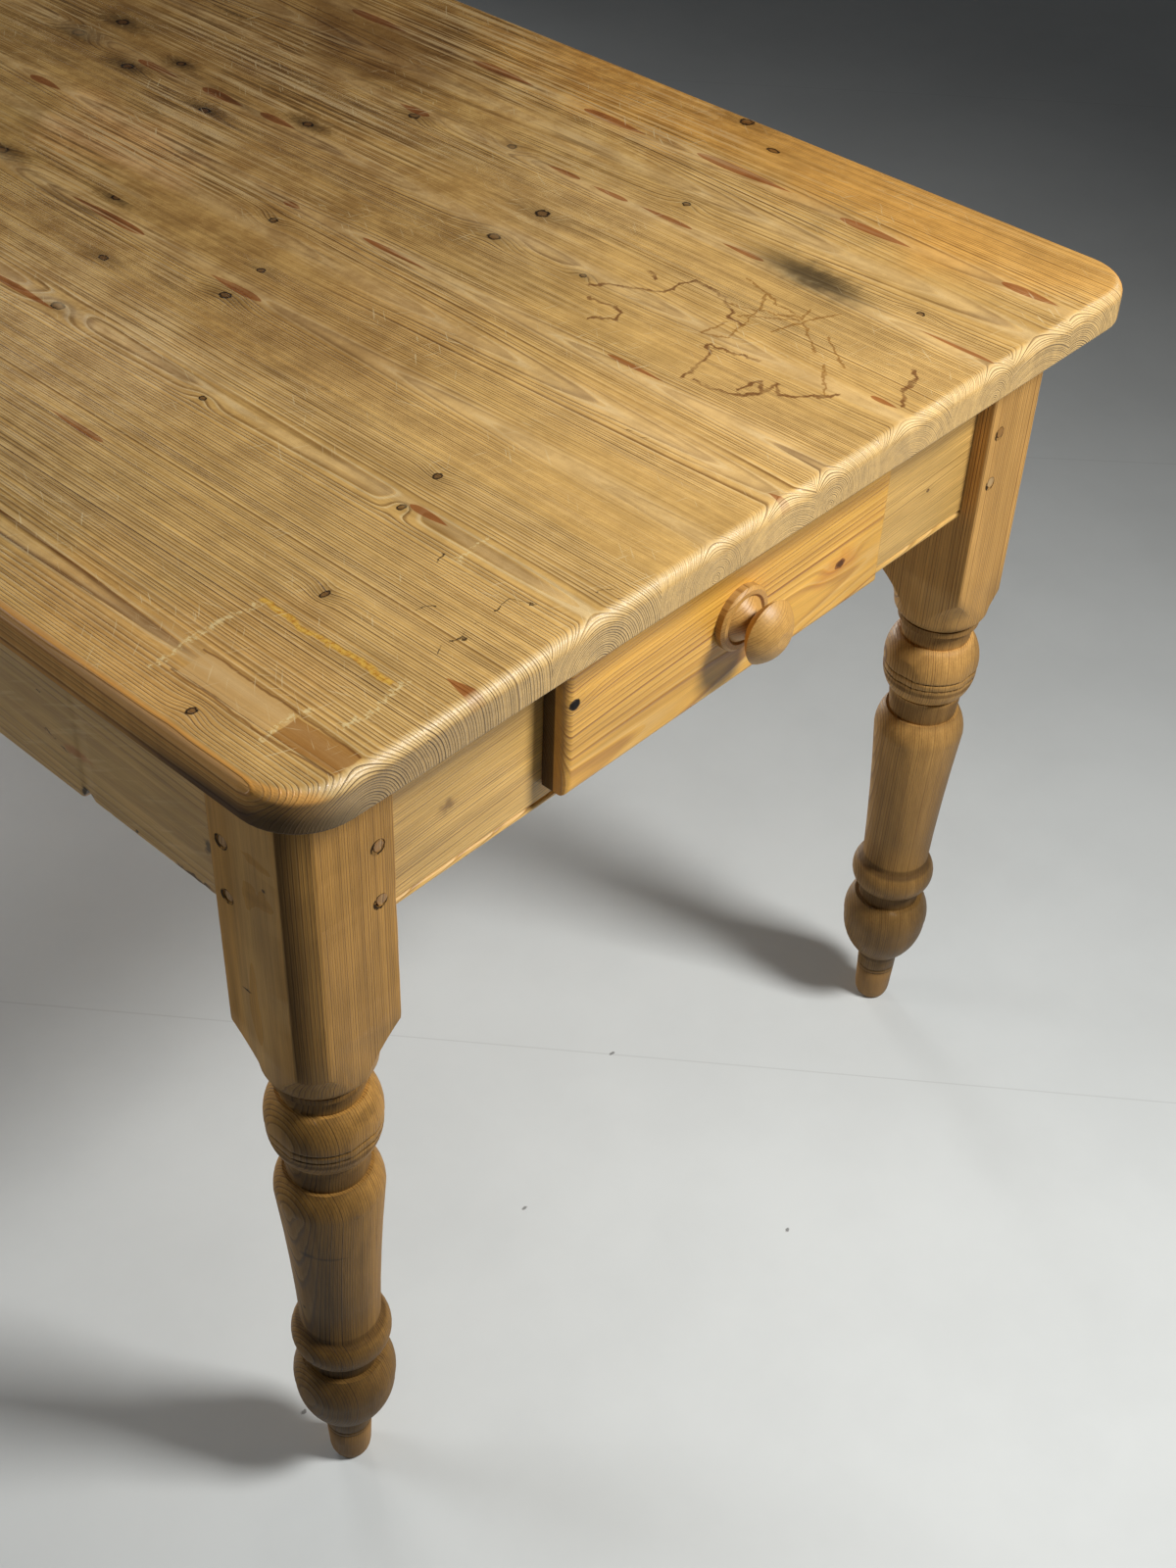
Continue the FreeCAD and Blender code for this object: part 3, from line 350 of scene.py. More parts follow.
# %% [markdown]
# ## Knots and flame tips
#
# A knot is a branch that the tree grew round.  One group gives, for a branch at a given spot,
# how far it pushes the rings aside, and where its core, its dark rim and the dirt round it
# lie.  A flame tip is where a face just grazes one dark ring: a long drop shape, blunt at one
# end and pointed at the other, which a square root of the way along it draws.

# %% The knot group and the flame tip group
def knot_group():
    """A branch that crosses the face, stretched along the grain by its draw."""
    inputs = {"Centre": (0, 0, 0), "Size": 0.005, "Draw": 1.0, "Dirt": 0.3}
    group, w, given, made = new_group("knot", inputs, ("Bulge", "Core", "Rim", "Halo"))
    offset = w.vector("MULTIPLY", w.vector("SUBTRACT", given["Place"], given["Centre"]), (1, 0, 1))
    shrink = w.joined(X=1.0, Z=w.math("DIVIDE", 1.0, given["Draw"]))
    offset = w.vector("MULTIPLY", offset, shrink)
    scaled = w.scaled(offset, w.math("DIVIDE", 1.0, given["Size"]))
    uneven = w.noise(given["Place"], (260, 260, 260))
    distance = w.stirred(w.vector("LENGTH", scaled), uneven, 0.9)
    spread = w.vector("LENGTH", w.vector("MULTIPLY", scaled, (0.4, 0, 0.22)))
    hill = w.math("POWER", 2.718, w.times(spread, spread, -1.0))
    w.feed(w.times(hill, given["Size"], 0.8), made["Bulge"])
    w.feed(w.fall(distance, 0.8, 1.1), made["Core"])
    w.feed(w.times(w.slope(distance, 0.5, 0.85), w.fall(distance, 0.9, 1.2)), made["Rim"])
    smudge = w.vector("LENGTH", w.vector("MULTIPLY", scaled, (1.0, 0, 0.5)))
    halo = w.fall(w.stirred(smudge, uneven, 2.6), 0.3, 3.8)
    w.feed(w.times(halo, given["Dirt"]), made["Halo"])
    return group


def flame_group():
    """A drop shape that runs from its blunt end along the grain."""
    inputs = {"Blunt": (0, 0, 0), "Length": 0.05, "Half": 0.004}
    group, w, given, made = new_group("flame tip", inputs, ("Mask",))
    offset = w.parts(w.vector("SUBTRACT", given["Place"], given["Blunt"]))
    share = w.math("DIVIDE", offset["Z"], given["Length"], clamp=True)
    half = w.times(w.math("SQRT", share), w.math("SUBTRACT", 1.0, share), 2.6, given["Half"])
    inside = w.math("SUBTRACT", w.math("ABSOLUTE", offset["X"]), half)
    inside = w.stirred(inside, w.noise(given["Place"], (160, 160, 30)), 0.0012)
    w.feed(w.fall(inside, -0.001, -0.0003), made["Mask"])
    return group


KNOT, FLAME = knot_group(), flame_group()
count(KNOT, FLAME)

# %% [markdown]
# ## Strokes and patches
#
# Scratches, cracks and the brown edges of dried spills all run between points, so one group
# tells how near a spot is to a stroke between two points.  Another tells how deep it is
# inside a soft oval, for scorch marks, damp and worn places.

# %% The stroke and patch groups
def stroke_group():
    """The mask of a straight stroke, from 1 on it to 0 at its width."""
    inputs = {"Along": (1, 0, 0), "Across": (0, 1, 0), "Middle": 0.0, "Aside": 0.0,
              "Half": 0.01, "Width": 0.001, "Soft": 0.7}
    group, w, given, made = new_group("stroke", inputs, ("Mask",))
    along = w.away(w.vector("DOT_PRODUCT", given["Place"], given["Along"]), given["Middle"])
    across = w.away(w.vector("DOT_PRODUCT", given["Place"], given["Across"]), given["Aside"])
    distance = w.math("MAXIMUM", w.math("SUBTRACT", along, given["Half"]), across)
    hard = w.math("SUBTRACT", 1.0, given["Soft"])
    w.feed(w.fall(w.math("DIVIDE", distance, given["Width"]), hard, 1.0), made["Mask"])
    return group


def patch_group():
    """The mask of an oval, from 1 in its middle to 0 at its reach."""
    inputs = {"Centre": (0, 0, 0), "Turn": 0.0, "Reach": (1, 1, 1), "Soft": 0.5}
    group, w, given, made = new_group("patch", inputs, ("Mask",))
    offset = w.turned(w.vector("SUBTRACT", given["Place"], given["Centre"]), given["Turn"])
    distance = w.vector("LENGTH", w.vector("DIVIDE", offset, given["Reach"]))
    w.feed(w.fall(distance, w.math("SUBTRACT", 1.0, given["Soft"]), 1.0), made["Mask"])
    return group


STROKE, PATCH = stroke_group(), patch_group()
count(STROKE, PATCH)

# %% [markdown]
# ## Scratches
#
# Use leaves fine pale scratches in every direction.  Noise stretched into long thin hairs
# gives them: three layers of it, each turned another way, cut off high so few hairs show.

# %% The scratch group
def scratch_group():
    """Hairs that run three ways, thick in some places and absent from others."""
    group, w, given, made = new_group("scratches", {}, ("Mask",))
    place = given["Place"]
    total = 0.0
    for turn, shift in ((0.35, 0.0), (1.25, 3.1), (2.2, 7.7)):
        bend = w.noise(place, (6, 6, 6), 1.0, shift=(shift, 0, 0), output="Color")
        bent = w.vector("ADD", w.turned(place, turn), w.scaled(bend, 0.06))
        hairs = w.noise(bent, (34, 600, 1), 1.0, shift=(0, shift, 0))
        total = w.math("MAXIMUM", total, w.slope(hairs, 0.68, 0.74))
    where = w.slope(w.noise(place, (7, 7, 7), 3.0, 0.65), 0.42, 0.62)
    w.feed(w.times(total, where), made["Mask"])
    return group


SCRATCHES = scratch_group()
count(SCRATCHES)

# %% [markdown]
# ## Laying marks on a surface
#
# Every look is laid in steps, each over the last: a mask says where, an amount how much and a
# colour with what.  A class that carries the colour and the roughness so far keeps a step to
# one line.  A mask can come from a list of places in millimetres, which become strokes.

# %% A surface that carries its look
MARGIN = 12  # how far outside a span, in millimetres, a stroke may lie and still be made


class Surface(Wiring):
    """Wiring that also carries a surface's colour, its roughness, its late wood and its knots."""

    colour, rough, late, knots = None, None, 0.0, 0.0

    def trace(self, place, lines, width, span, soft=0.7):
        """The mask of lines of a width in metres; only strokes that cross the span are made."""
        mask = 0.0
        for line in lines:
            for start, end in zip(line, line[1:]):
                lowest, highest = sorted((start[0], end[0]))
                if highest < span[0] - MARGIN or lowest > span[1] + MARGIN:
                    continue
                start_place, end_place = (Vector((x, y, 0)) / 1000 for x, y in (start, end))
                along = (end_place - start_place).normalized()
                across = Vector((-along.y, along.x, 0))
                middle = (start_place + end_place) / 2
                stroke = self.group(STROKE, Place=place, Along=along, Across=across, Width=width,
                                    Middle=middle.dot(along), Aside=middle.dot(across), Soft=soft,
                                    Half=(end_place - start_place).length / 2)
                mask = self.math("MAXIMUM", mask, stroke["Mask"])
        return mask

    def shaken(self, place, waves, reach):
        """The place pushed about by noise, so that the edges of what is laid there are ragged."""
        push = self.drift(place, (waves, waves, waves), 3.0, 0.6)
        return self.vector("ADD", place, self.scaled(push, reach))

    def mark(self, mask, amount, colour, rough=None, mode="MIX"):
        """Lay a mask over the look as a colour, and as a roughness if one is given."""
        strength = self.times(mask, amount)
        self.colour = self.tint(strength, self.colour, colour, mode)
        if rough is not None:
            self.rough = self.blend(strength, self.rough, rough)

    def tone(self, mask, amount, factors, rough=None):
        """Multiply the colour by a red, a green and a blue factor where the mask is."""
        self.mark(mask, amount, (*factors, 1), rough, "MULTIPLY")

    def shade(self, level):
        """Make the colour darker or lighter by one number."""
        grey = self.joined(X=level, Y=level, Z=level)
        self.colour = self.tint(1.0, self.colour, grey, "MULTIPLY")

    def mottle(self, noise, low, high):
        """Slow changes of brightness between two levels."""
        self.shade(self.slope(noise, 0.3, 0.7, low, high))

    def blot(self, place, centre, reach, soft, amount, colour, rough=None, turn=0.0):
        """A soft oval of one colour."""
        patch = self.group(PATCH, Place=place, Centre=centre, Turn=turn, Reach=reach, Soft=soft)
        self.mark(patch["Mask"], amount, colour, rough)


print("a surface can", ", ".join(name for name, part in vars(Surface).items() if callable(part)))

# %% [markdown]
# ## The wood itself
#
# One function makes every wood on the table.  It turns the table's own coordinates so that
# one axis runs along the grain, lays the rings and knots, and mixes pale early wood with
# dark late wood.  A pale band just after each dark line is a painted highlight, for the sheen
# on raised ridges.  Fine fibres, pores and slow changes of tone go on top.  The dark lines
# also stand a little proud, because soft early wood wears away first.

# %% The pine material
GRAIN_AXES = {"X": "ZYX", "Y": "XZY", "Z": "XYZ"}
TOP_TONES = {"early": paint(234, 189, 112), "late": paint(108, 62, 22), "tip": paint(156, 82, 26)}
LEG_TONES = {"early": paint(196, 146, 72), "late": paint(76, 44, 16)}
PALE_LEG_TONES = {"early": paint(214, 164, 92), "late": paint(132, 88, 42)}
APRON_TONES = {"early": paint(230, 186, 106), "late": paint(142, 98, 42)}
SIDE_TONES = {"early": paint(204, 164, 98), "late": paint(146, 104, 52)}
DRAWER_TONES = {"early": paint(238, 182, 80), "late": paint(148, 82, 22)}
KNOB_TONES = {"early": paint(210, 162, 88), "late": paint(138, 92, 40)}
INNER_TONES = {"early": paint(206, 166, 106), "late": paint(158, 116, 64)}
# The first colour here is a painted highlight for the sheen on the grain's raised ridges.
RIDGE_SHEEN_TONE, HALO_TONE = paint(246, 220, 166), paint(66, 42, 18)
CORE_TONE, RIM_TONE = paint(112, 74, 36), paint(30, 18, 10)
BUMP_DEPTH = 0.0006


def grain_place(w, axis):
    """The table's place in metres, and that place as (across, through, along) the grain."""
    place = w.add("ShaderNodeTexCoord").outputs["Object"]
    split = w.parts(place)
    return place, w.joined(**dict(zip("XYZ", (split[letter] for letter in GRAIN_AXES[axis]))))


def lay_knots(w, place, knots):
    """Sum of the knots' bulges, and the strongest core, rim and halo."""
    bulge, strongest = 0.0, {"Core": 0.0, "Rim": 0.0, "Halo": 0.0}
    for across, along, size, draw, dirt in knots:
        knot = w.group(KNOT, Place=place, Centre=(across, 0, along), Size=size, Draw=draw,
                       Dirt=dirt)
        bulge = w.math("ADD", bulge, knot["Bulge"])
        strongest = {key: w.math("MAXIMUM", value, knot[key]) for key, value in strongest.items()}
    return bulge, strongest


def lay_flames(w, place, tips):
    """The mask of flame tips, each (across, along, length, half width) from its blunt end."""
    mask = 0.0
    for across, along, length, half in tips:
        flame = w.group(FLAME, Place=place, Blunt=(across, 0, along), Length=length, Half=half)
        mask = w.math("MAXIMUM", mask, flame["Mask"])
    return mask


def pine(name, axis, heart, lean=(0, 0), spacing=0.003, knots=(), tones=TOP_TONES,
         wander=0.005, start=0.0, figure=0.95, steady=0.5, pale=0.4, gloss=0.42, shine=0.45,
         relief=0.6, finish=None):
    """A pine material; heart is the tree's centre across and through the piece."""
    material = bpy.data.materials.new(name)
    material.use_nodes = True
    w = Surface(material.node_tree)
    table_place, place = grain_place(w, axis)
    bulge, knot = lay_knots(w, place, knots)
    rings = w.group(GROWTH_RINGS, Place=place, Heart=(*heart, 0), Lean=(*lean, 0), Start=start,
                    Spacing=spacing, Wander=wander, Bulge=bulge)
    late = rings["Late"]
    fibres = w.noise(place, (1100, 1100, 26), 3.0, 0.6)
    streaks = w.noise(place, (170, 170, 3.0), 3.0, 0.6)
    clouds = w.noise(place, (11, 11, 3), 3.0, 0.55)
    plain = w.noise(place, (17, 17, 3.4), shift=(5, 5, 5))
    shown = w.slope(plain, 0.34, 0.6, figure * steady, figure)
    w.late, w.knots, w.colour = late, knot["Halo"], tones["early"]
    w.mark(w.slope(streaks, 0.3, 0.75, 0.0, 0.3), 1.0, tones["late"])
    # A painted highlight: a pale band after each dark line, for the sheen on the raised ridges.
    w.mark(w.times(rings["Ridge Sheen"], shown), pale, RIDGE_SHEEN_TONE)
    w.mark(w.times(late, shown), 1.0, tones["late"])
    level = w.math("MULTIPLY_ADD", fibres, 0.5, w.times(clouds, 0.5))
    w.shade(w.slope(level, 0.3, 0.7, 0.8, 1.12))
    if knots:
        w.mark(knot["Halo"], 1.0, HALO_TONE)
        w.mark(knot["Core"], 0.75, CORE_TONE)
        w.mark(knot["Rim"], 0.95, RIM_TONE)
    w.rough = w.slope(w.math("SUBTRACT", clouds, w.times(late, 0.25)), 0.15, 0.8, gloss - 0.08,
                      gloss + 0.12)
    height = w.math("MULTIPLY_ADD", w.times(late, shown), 0.9, w.times(fibres, 0.45))
    if finish:
        finish(w, table_place)
    bump = w.add("ShaderNodeBump", {"Height": height, "Strength": relief, "Distance": BUMP_DEPTH})
    shader = material.node_tree.nodes["Principled BSDF"]
    w.feed(w.colour, shader.inputs["Base Color"])
    w.feed(w.rough, shader.inputs["Roughness"])
    w.feed(bump.outputs[0], shader.inputs["Normal"])
    shader.inputs["Specular IOR Level"].default_value = shine
    return material


def dress(node, material):
    """Give a solid's every slot one material."""
    for slot in nodes[node].material_slots:
        slot.material = material


print("grain can run along", ", ".join(GRAIN_AXES))

# %% [markdown]
# ## Marks of use
#
# The top carries the history of a kitchen: brown tide lines of spills, a scorched oval, dried
# glue, cracks and greyed, worn places.  Each mark is a list of places on the top, in
# millimetres, so it can be moved or removed without touching the wood.

# %% Where the marks are
SPILL_LINES = [
    [(104, -492), (113, -498), (121, -510), (130, -526), (135, -535), (144, -537), (156, -537),
     (165, -540), (163, -558), (160, -571), (154, -579), (148, -588), (141, -590), (140, -604)],
    [(150, -508), (146, -519), (146, -514)],
    [(93, -503), (92, -512), (95, -525), (91, -535), (82, -539), (78, -530), (69, -525)],
    [(104, -605), (98, -606), (97, -612), (89, -616), (77, -617), (69, -619), (58, -621)],
    [(103, -606), (105, -620), (111, -643)],
    [(61, -629), (60, -641), (64, -654), (69, -663), (80, -669), (95, -670), (86, -680),
     (98, -694), (113, -707)],
    [(72, -656), (91, -658), (80, -669)],
    [(176, -722), (169, -729), (159, -732), (151, -733), (140, -741), (133, -746)]]
STAR_LINES = [
    [(193, -566), (187, -586), (168, -597), (140, -604), (120, -609), (111, -591), (135, -595)],
    [(187, -586), (179, -603), (177, -625)],
    [(157, -581), (165, -602), (176, -626), (192, -623)],
    [(148, -593), (161, -610), (173, -626)],
    [(147, -623), (161, -627), (174, -630), (190, -637), (201, -641)],
    [(173, -631), (162, -644), (147, -662)],
    [(138, -676), (108, -700)],
    [(169, -656), (155, -675), (145, -688)]]
CRACKS = [
    [(-244, -681), (-237, -684), (-233, -687)],
    [(-262, -718), (-250, -714), (-243, -719), (-238, -715), (-231, -714), (-222, -715)],
    [(-211, -713), (-198, -711), (-193, -725), (-188, -731)],
    [(-159, -742), (-147, -746)],
    [(-157, -753), (-151, -755)],
    [(-16, -639), (-15, -656)],
    [(-205, -656), (-193, -654)]]
PALE_SCRATCHES = [
    [(-192, -664), (-165, -660)],
    [(-302, -615), (-330, -612), (-381, -617)],
    [(-291, -723), (-325, -730), (-339, -728)],
    [(-344, -706), (-356, -702), (-382, -707)]]
GLUE_LINE = [[(-298, -615), (-300, -650), (-297, -690), (-299, -718)]]
print(sum(len(lines) for lines in (SPILL_LINES, STAR_LINES, CRACKS, PALE_SCRATCHES, GLUE_LINE)),
      "lines of marks")
print("the spills' edges run for", round(sum(
    math.dist(start, end) for line in SPILL_LINES for start, end in zip(line, line[1:]))), "mm")

# %% [markdown]
# ## The worn top
#
# Hands and cloths have kept the right-hand edge golden, while the middle has gone grey and
# dull.  A few wide soft ovals, their edges broken up by noise, give those places their tone.
# The rounded ends show end grain: pale where it is rubbed, with a painted highlight there, and
# darker on the upright part with dirt and painted shade.

# %% Greyed and worn places
WORN_PLACES = [
    # centre x, y; reach x, y; turn; amount; tone that the colour is multiplied by
    ((0.06, -0.20), (0.24, 0.26), 0.25, 0.80, (0.76, 0.72, 0.70)),
    ((0.20, 0.05), (0.22, 0.30), 0.0, 0.85, (0.66, 0.60, 0.55)),
    ((0.29, -0.07), (0.09, 0.15), 0.3, 0.85, (0.50, 0.42, 0.36)),
    ((0.01, -0.08), (0.07, 0.11), 0.2, 0.70, (1.50, 1.38, 1.50)),
    ((-0.07, -0.42), (0.14, 0.12), 0.6, 0.65, (0.72, 0.66, 0.62)),
    ((-0.21, -0.28), (0.12, 0.20), 0.2, 0.75, (1.16, 1.22, 1.50)),
    ((-0.33, -0.42), (0.10, 0.12), 0.0, 0.60, (0.84, 0.87, 0.94)),
    ((0.15, -0.40), (0.10, 0.09), 0.3, 0.60, (1.04, 1.08, 1.24)),
    ((0.02, 0.45), (0.45, 0.26), 0.0, 0.60, (0.86, 0.80, 0.74)),
    ((0.38, -0.45), (0.10, 0.60), 0.0, 0.95, (1.10, 0.92, 0.64)),
    ((0.03, -0.66), (0.16, 0.10), 0.2, 0.60, (1.08, 1.08, 1.12)),
    ((-0.36, -0.60), (0.09, 0.18), 0.0, 0.60, (0.94, 0.82, 0.72))]
PALE_PANEL = [[(-362, -640), (-362, -691)]]
BROWN_PANEL = [[(-362, -716), (-361, -744)]]
PANEL_SIDES = [[(-374, -626), (-375, -700), (-372, -752)],
               [(-351, -626), (-350, -700), (-352, -752)]]

# Across the top in millimetres: where each kind of mark begins or ends
SPILLS_FROM, CRACKS_TO, GLUE_TO, PANEL_TO = 40, 0, -216, -312


def grey_wear_and_sheen(w, flat, upper):
    """The worn places, a fine mottling of dirt, and coarse open grain away from the end, its pale
    streaks partly a painted sheen on the raised grain.
    """
    ragged = w.shaken(flat, 10, 0.16)
    for centre, reach, turn, amount, factors in WORN_PLACES:
        patch = w.group(PATCH, Place=ragged, Centre=(*centre, 0), Turn=turn, Reach=(*reach, 1),
                        Soft=0.75)
        w.tone(w.times(patch["Mask"], upper), amount, factors)
    dirt = w.noise(flat, (42, 26, 1), 5.0, 0.72)
    w.mottle(dirt, 0.9, 1.1)
    behind = w.slope(w.parts(flat)["Y"], -0.62, -0.2, 0.25, 1.0)
    w.tone(w.times(w.fall(dirt, 0.38, 0.62), behind), 0.6, (0.70, 0.58, 0.46))
    reeds = w.noise(flat, (300, 4, 1), 2.0, 0.6)
    where = w.slope(w.noise(flat, (8, 5, 1), 3.0, 0.6), 0.4, 0.62)
    where = w.times(where, behind, upper)
    where = w.math("SUBTRACT", where, w.times(w.knots, 2.0), clamp=True)
    # The pale streaks are partly painted sheen on the raised grain.
    w.mark(w.times(w.slope(reeds, 0.53, 0.58), where), 0.6, paint(238, 206, 150))
    w.mark(w.times(w.fall(reeds, 0.41, 0.46), where), 0.6, paint(78, 50, 22))


def end_wear_and_painted_light(w, across):
    """Rubbed pale, with a painted highlight, where the end grain rounds over; darker with dirt and
    painted shade where it stands upright, most near the left corner; painted shade on the sides.
    """
    face = w.parts(w.normal())
    end = w.slope(w.math("ABSOLUTE", face["Y"]), 0.12, 0.5)
    rubbed_highlight = w.times(end, w.slope(face["Z"], 0.15, 0.5))
    # Worn pale and painted as a highlight where the end grain rounds over.
    w.mark(rubbed_highlight, 0.5, paint(244, 216, 160), 0.26)
    w.mark(w.times(end, w.late), 0.75, paint(104, 68, 30))
    upright = w.times(end, w.fall(face["Z"], 0.05, 0.4))
    w.mark(upright, 0.2, paint(244, 222, 172))
    # Dirt and painted shade on the upright end face, strongest towards the near left corner.
    upright = w.times(upright, w.slope(across, -0.36, -0.13, 1.0, 0.1))
    w.tone(upright, 0.95, (0.61, 0.59, 0.60))
    sideways = w.math("ABSOLUTE", face["X"])
    rounding = w.times(w.slope(sideways, 0.2, 0.5), w.slope(face["Z"], 0.0, 0.35))
    w.mark(rounding, 0.7, paint(250, 178, 84))
    # Painted shade on the top's long side faces.
    side = w.times(w.slope(sideways, 0.1, 0.8), w.fall(face["Z"], 0.0, 0.4))
    w.tone(side, 0.9, (0.76, 0.59, 0.35), 0.85)


def spoil_and_corner_shade(w, flat, place, span):
    """Spills, a scorch, cracks, old glue, the plain panel and painted shade at the near left
    corner, where the board has them.
    """
    shaky = w.shaken(flat, 110, 0.011)
    if span[1] > SPILLS_FROM:
        uneven = w.slope(w.noise(flat, (60, 60, 1)), 0.3, 0.6, 0.3, 0.8)
        spill = w.times(w.trace(shaky, SPILL_LINES, 0.0021, span), uneven)
        w.mark(spill, 1.0, paint(112, 60, 22))
        w.mark(w.trace(shaky, STAR_LINES, 0.0014, span), 0.62, paint(146, 92, 22))
        w.blot(w.shaken(flat, 90, 0.016), (0.229, -0.596, 0), (0.026, 0.078, 1), 0.85, 0.85,
               paint(56, 46, 32), turn=0.06)
    if span[0] < CRACKS_TO:
        broken = w.slope(w.noise(flat, (120, 120, 1)), 0.42, 0.56)
        cracks = w.times(w.trace(shaky, CRACKS, 0.0007, span), broken)
        w.mark(cracks, 0.9, paint(60, 40, 20))
        crumbs = w.slope(w.noise(flat, (300, 300, 1), 4.0, 0.7), 0.46, 0.56)
        film = w.trace(w.shaken(flat, 190, 0.012), PALE_SCRATCHES, 0.0032, span, 0.9)
        w.mark(film, 0.18, paint(224, 180, 104), 0.2)
        w.mark(w.times(film, crumbs), 0.68, paint(252, 228, 168), 0.2)
    if span[0] < GLUE_TO:
        blotchy = w.slope(w.noise(flat, (260, 260, 1), 3.0, 0.7), 0.38, 0.56)
        glue = w.trace(w.shaken(flat, 70, 0.008), GLUE_LINE, 0.0032, span)
        w.mark(glue, 0.75, paint(204, 138, 30), 0.16)
        w.mark(w.times(glue, blotchy), 0.65, paint(246, 200, 92), 0.12)
    if span[0] < PANEL_TO:
        # Painted shade on the rounded edge at the near left corner of the top.
        w.blot(place, (-0.412, -0.772, 0.7385), (0.075, 0.20, 0.0165), 0.6, 0.85, paint(56, 36, 14),
               0.8)
        steady = w.shaken(flat, 30, 0.005)
        for lines, width, soft, amount, colour in (
                (PALE_PANEL, 0.0112, 0.12, 0.6, paint(222, 180, 118)),
                (BROWN_PANEL, 0.0102, 0.12, 0.7, paint(160, 104, 44)),
                (PANEL_SIDES, 0.0012, 0.7, 0.7, paint(120, 74, 32))):
            w.mark(w.trace(steady, lines, width, span, soft), amount, colour)


def worn_top(span, heart, strip_reach, tips):
    """A finish for the board that lies between two places across the top, in millimetres."""
    def finish(w, place):
        flat = w.vector("MULTIPLY", place, (1, 1, 0))
        split = w.parts(place)
        upper = w.slope(split["Z"], TOP_FACE - 0.010, TOP_FACE - 0.002)
        laid = w.joined(X=split["X"], Z=split["Y"])
        strip = w.group(PATCH, Place=w.shaken(flat, 7, 0.02), Centre=(heart, 0, 0),
                        Reach=(strip_reach, 9, 9), Soft=0.9)
        w.mark(w.times(strip["Mask"], upper), 0.34, paint(240, 206, 148))
        w.mark(w.times(lay_flames(w, laid, tips), upper), 0.8, TOP_TONES["tip"])
        grey_wear_and_sheen(w, flat, upper)
        spoil_and_corner_shade(w, flat, place, span)
        hairs = w.group(SCRATCHES, Place=flat)
        w.mark(w.times(hairs["Mask"], upper), 0.5, paint(244, 220, 168))
        end_wear_and_painted_light(w, split["X"])

    return finish


print(len(WORN_PLACES), "worn places")

# %% Dress the top's boards
TOP_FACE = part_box("top_board_1")[1].z
CLEAN, SOILED, DIRTY = 0.12, 0.35, 0.75
BOARDS = [
    # heart x, depth, lean, ring spacing, start; knots (x, y, size, draw, dirt); flame tips
    # (x, y of the blunt end, length, half width); lengths and places in millimetres
    (-358, 30, 0.006, 1.75, 0.0,
     [(-389, -662, 3.6, 0.7, CLEAN)],
     [(-357, -130, -60, 5), (-350, -340, -70, 4)]),
    (-334, 31, -0.005, 2.05, 0.3,
     [(-270, -634, 4.2, 0.5, SOILED)],
     [(-274, -790, 55, 7), (-262, -420, 60, 3.5)]),
    (-176, 29, 0.006, 1.55, 0.6,
     [(-140, -592, 3.6, 0.8, CLEAN), (-179, -601, 3.6, 0.7, CLEAN),
      (-185, -422, 2.6, 1.2, CLEAN), (-179, -261, 4.2, 1.4, SOILED)],
     [(-173, -602, -35, 4), (-184, -190, -80, 4)]),
    (-73, 33, -0.012, 1.31, 0.2,
     [(-88, -328, 4, 1.2, SOILED), (-51, -159, 3.4, 1.3, DIRTY),
      (-65, -35, 4.6, 1.4, DIRTY), (-115, -227, 3, 1.5, SOILED)],
     [(-73, -220, 90, 5), (-76, -352, 58, 4.5)]),
    (-6, 41, 0.014, 1.18, 0.5,
     [(9, -266, 3.6, 1, CLEAN), (-47, -318, 3.4, 1, SOILED)],
     [(-8, -790, 45, 6.5)]),
    (37, 33, -0.012, 1.25, 0.1, [],
     [(34, 64, -42, 5), (35, -248, -20, 4), (38, -330, -75, 3.5), (44, -565, -55, 3)]),
    (119, 33, 0.014, 1.25, 0.8,
     [(115, 108, 5, 1.3, DIRTY), (156, 101, 5.2, 1.2, DIRTY),
      (102, 25, 4.6, 1.2, DIRTY), (137, -1, 4, 1, DIRTY),
      (93, -85, 4.4, 1.3, DIRTY), (136, -160, 4, 1.3, DIRTY),
      (160, -394, 5.5, 1, SOILED), (108, -395, 4.4, 1.2, SOILED), (112, -480, 2.6, 1, SOILED)],
     [(117, 30, -56, 5), (120, -50, -52, 6), (123, -118, -44, 5), (129, -722, -24, 3)]),
    (219, 35, -0.014, 1.31, 0.4,
     [(208, -206, 4, 1.3, SOILED), (225, -299, 3.6, 1.2, CLEAN), (245, 52, 4.4, 1.2, DIRTY)],
     [(216, -215, 36, 5), (222, -375, 38, 3.5), (221, -425, 40, 3.5), (222, -488, 58, 3.5),
      (222, -556, 42, 3.5), (223, -756, 70, 2.8)]),
    (272, 59, 0.016, 1.44, 0.4,
     [(250, -458, 3.4, 1, CLEAN), (241, -681, 3.2, 1, CLEAN)], []),
    (319, 35, 0.014, 1.58, 0.7,
     [(396, -397, 5.5, 1.2, SOILED), (370, -445, 3, 2, CLEAN)],
     [(320, -10, -75, 6), (320, -160, -75, 6), (318, -290, -71, 6), (323, -406, -99, 6),
      (317, -552, -70, 5.5), (322, -694, -52, 5.5)])]
STRAIGHT_BOARDS = 3
STRAIGHT = {"wander": 0.0024, "steady": 0.9, "pale": 0.6}
FLAMED = {"wander": 0.005, "steady": 0.2, "pale": 0.42}
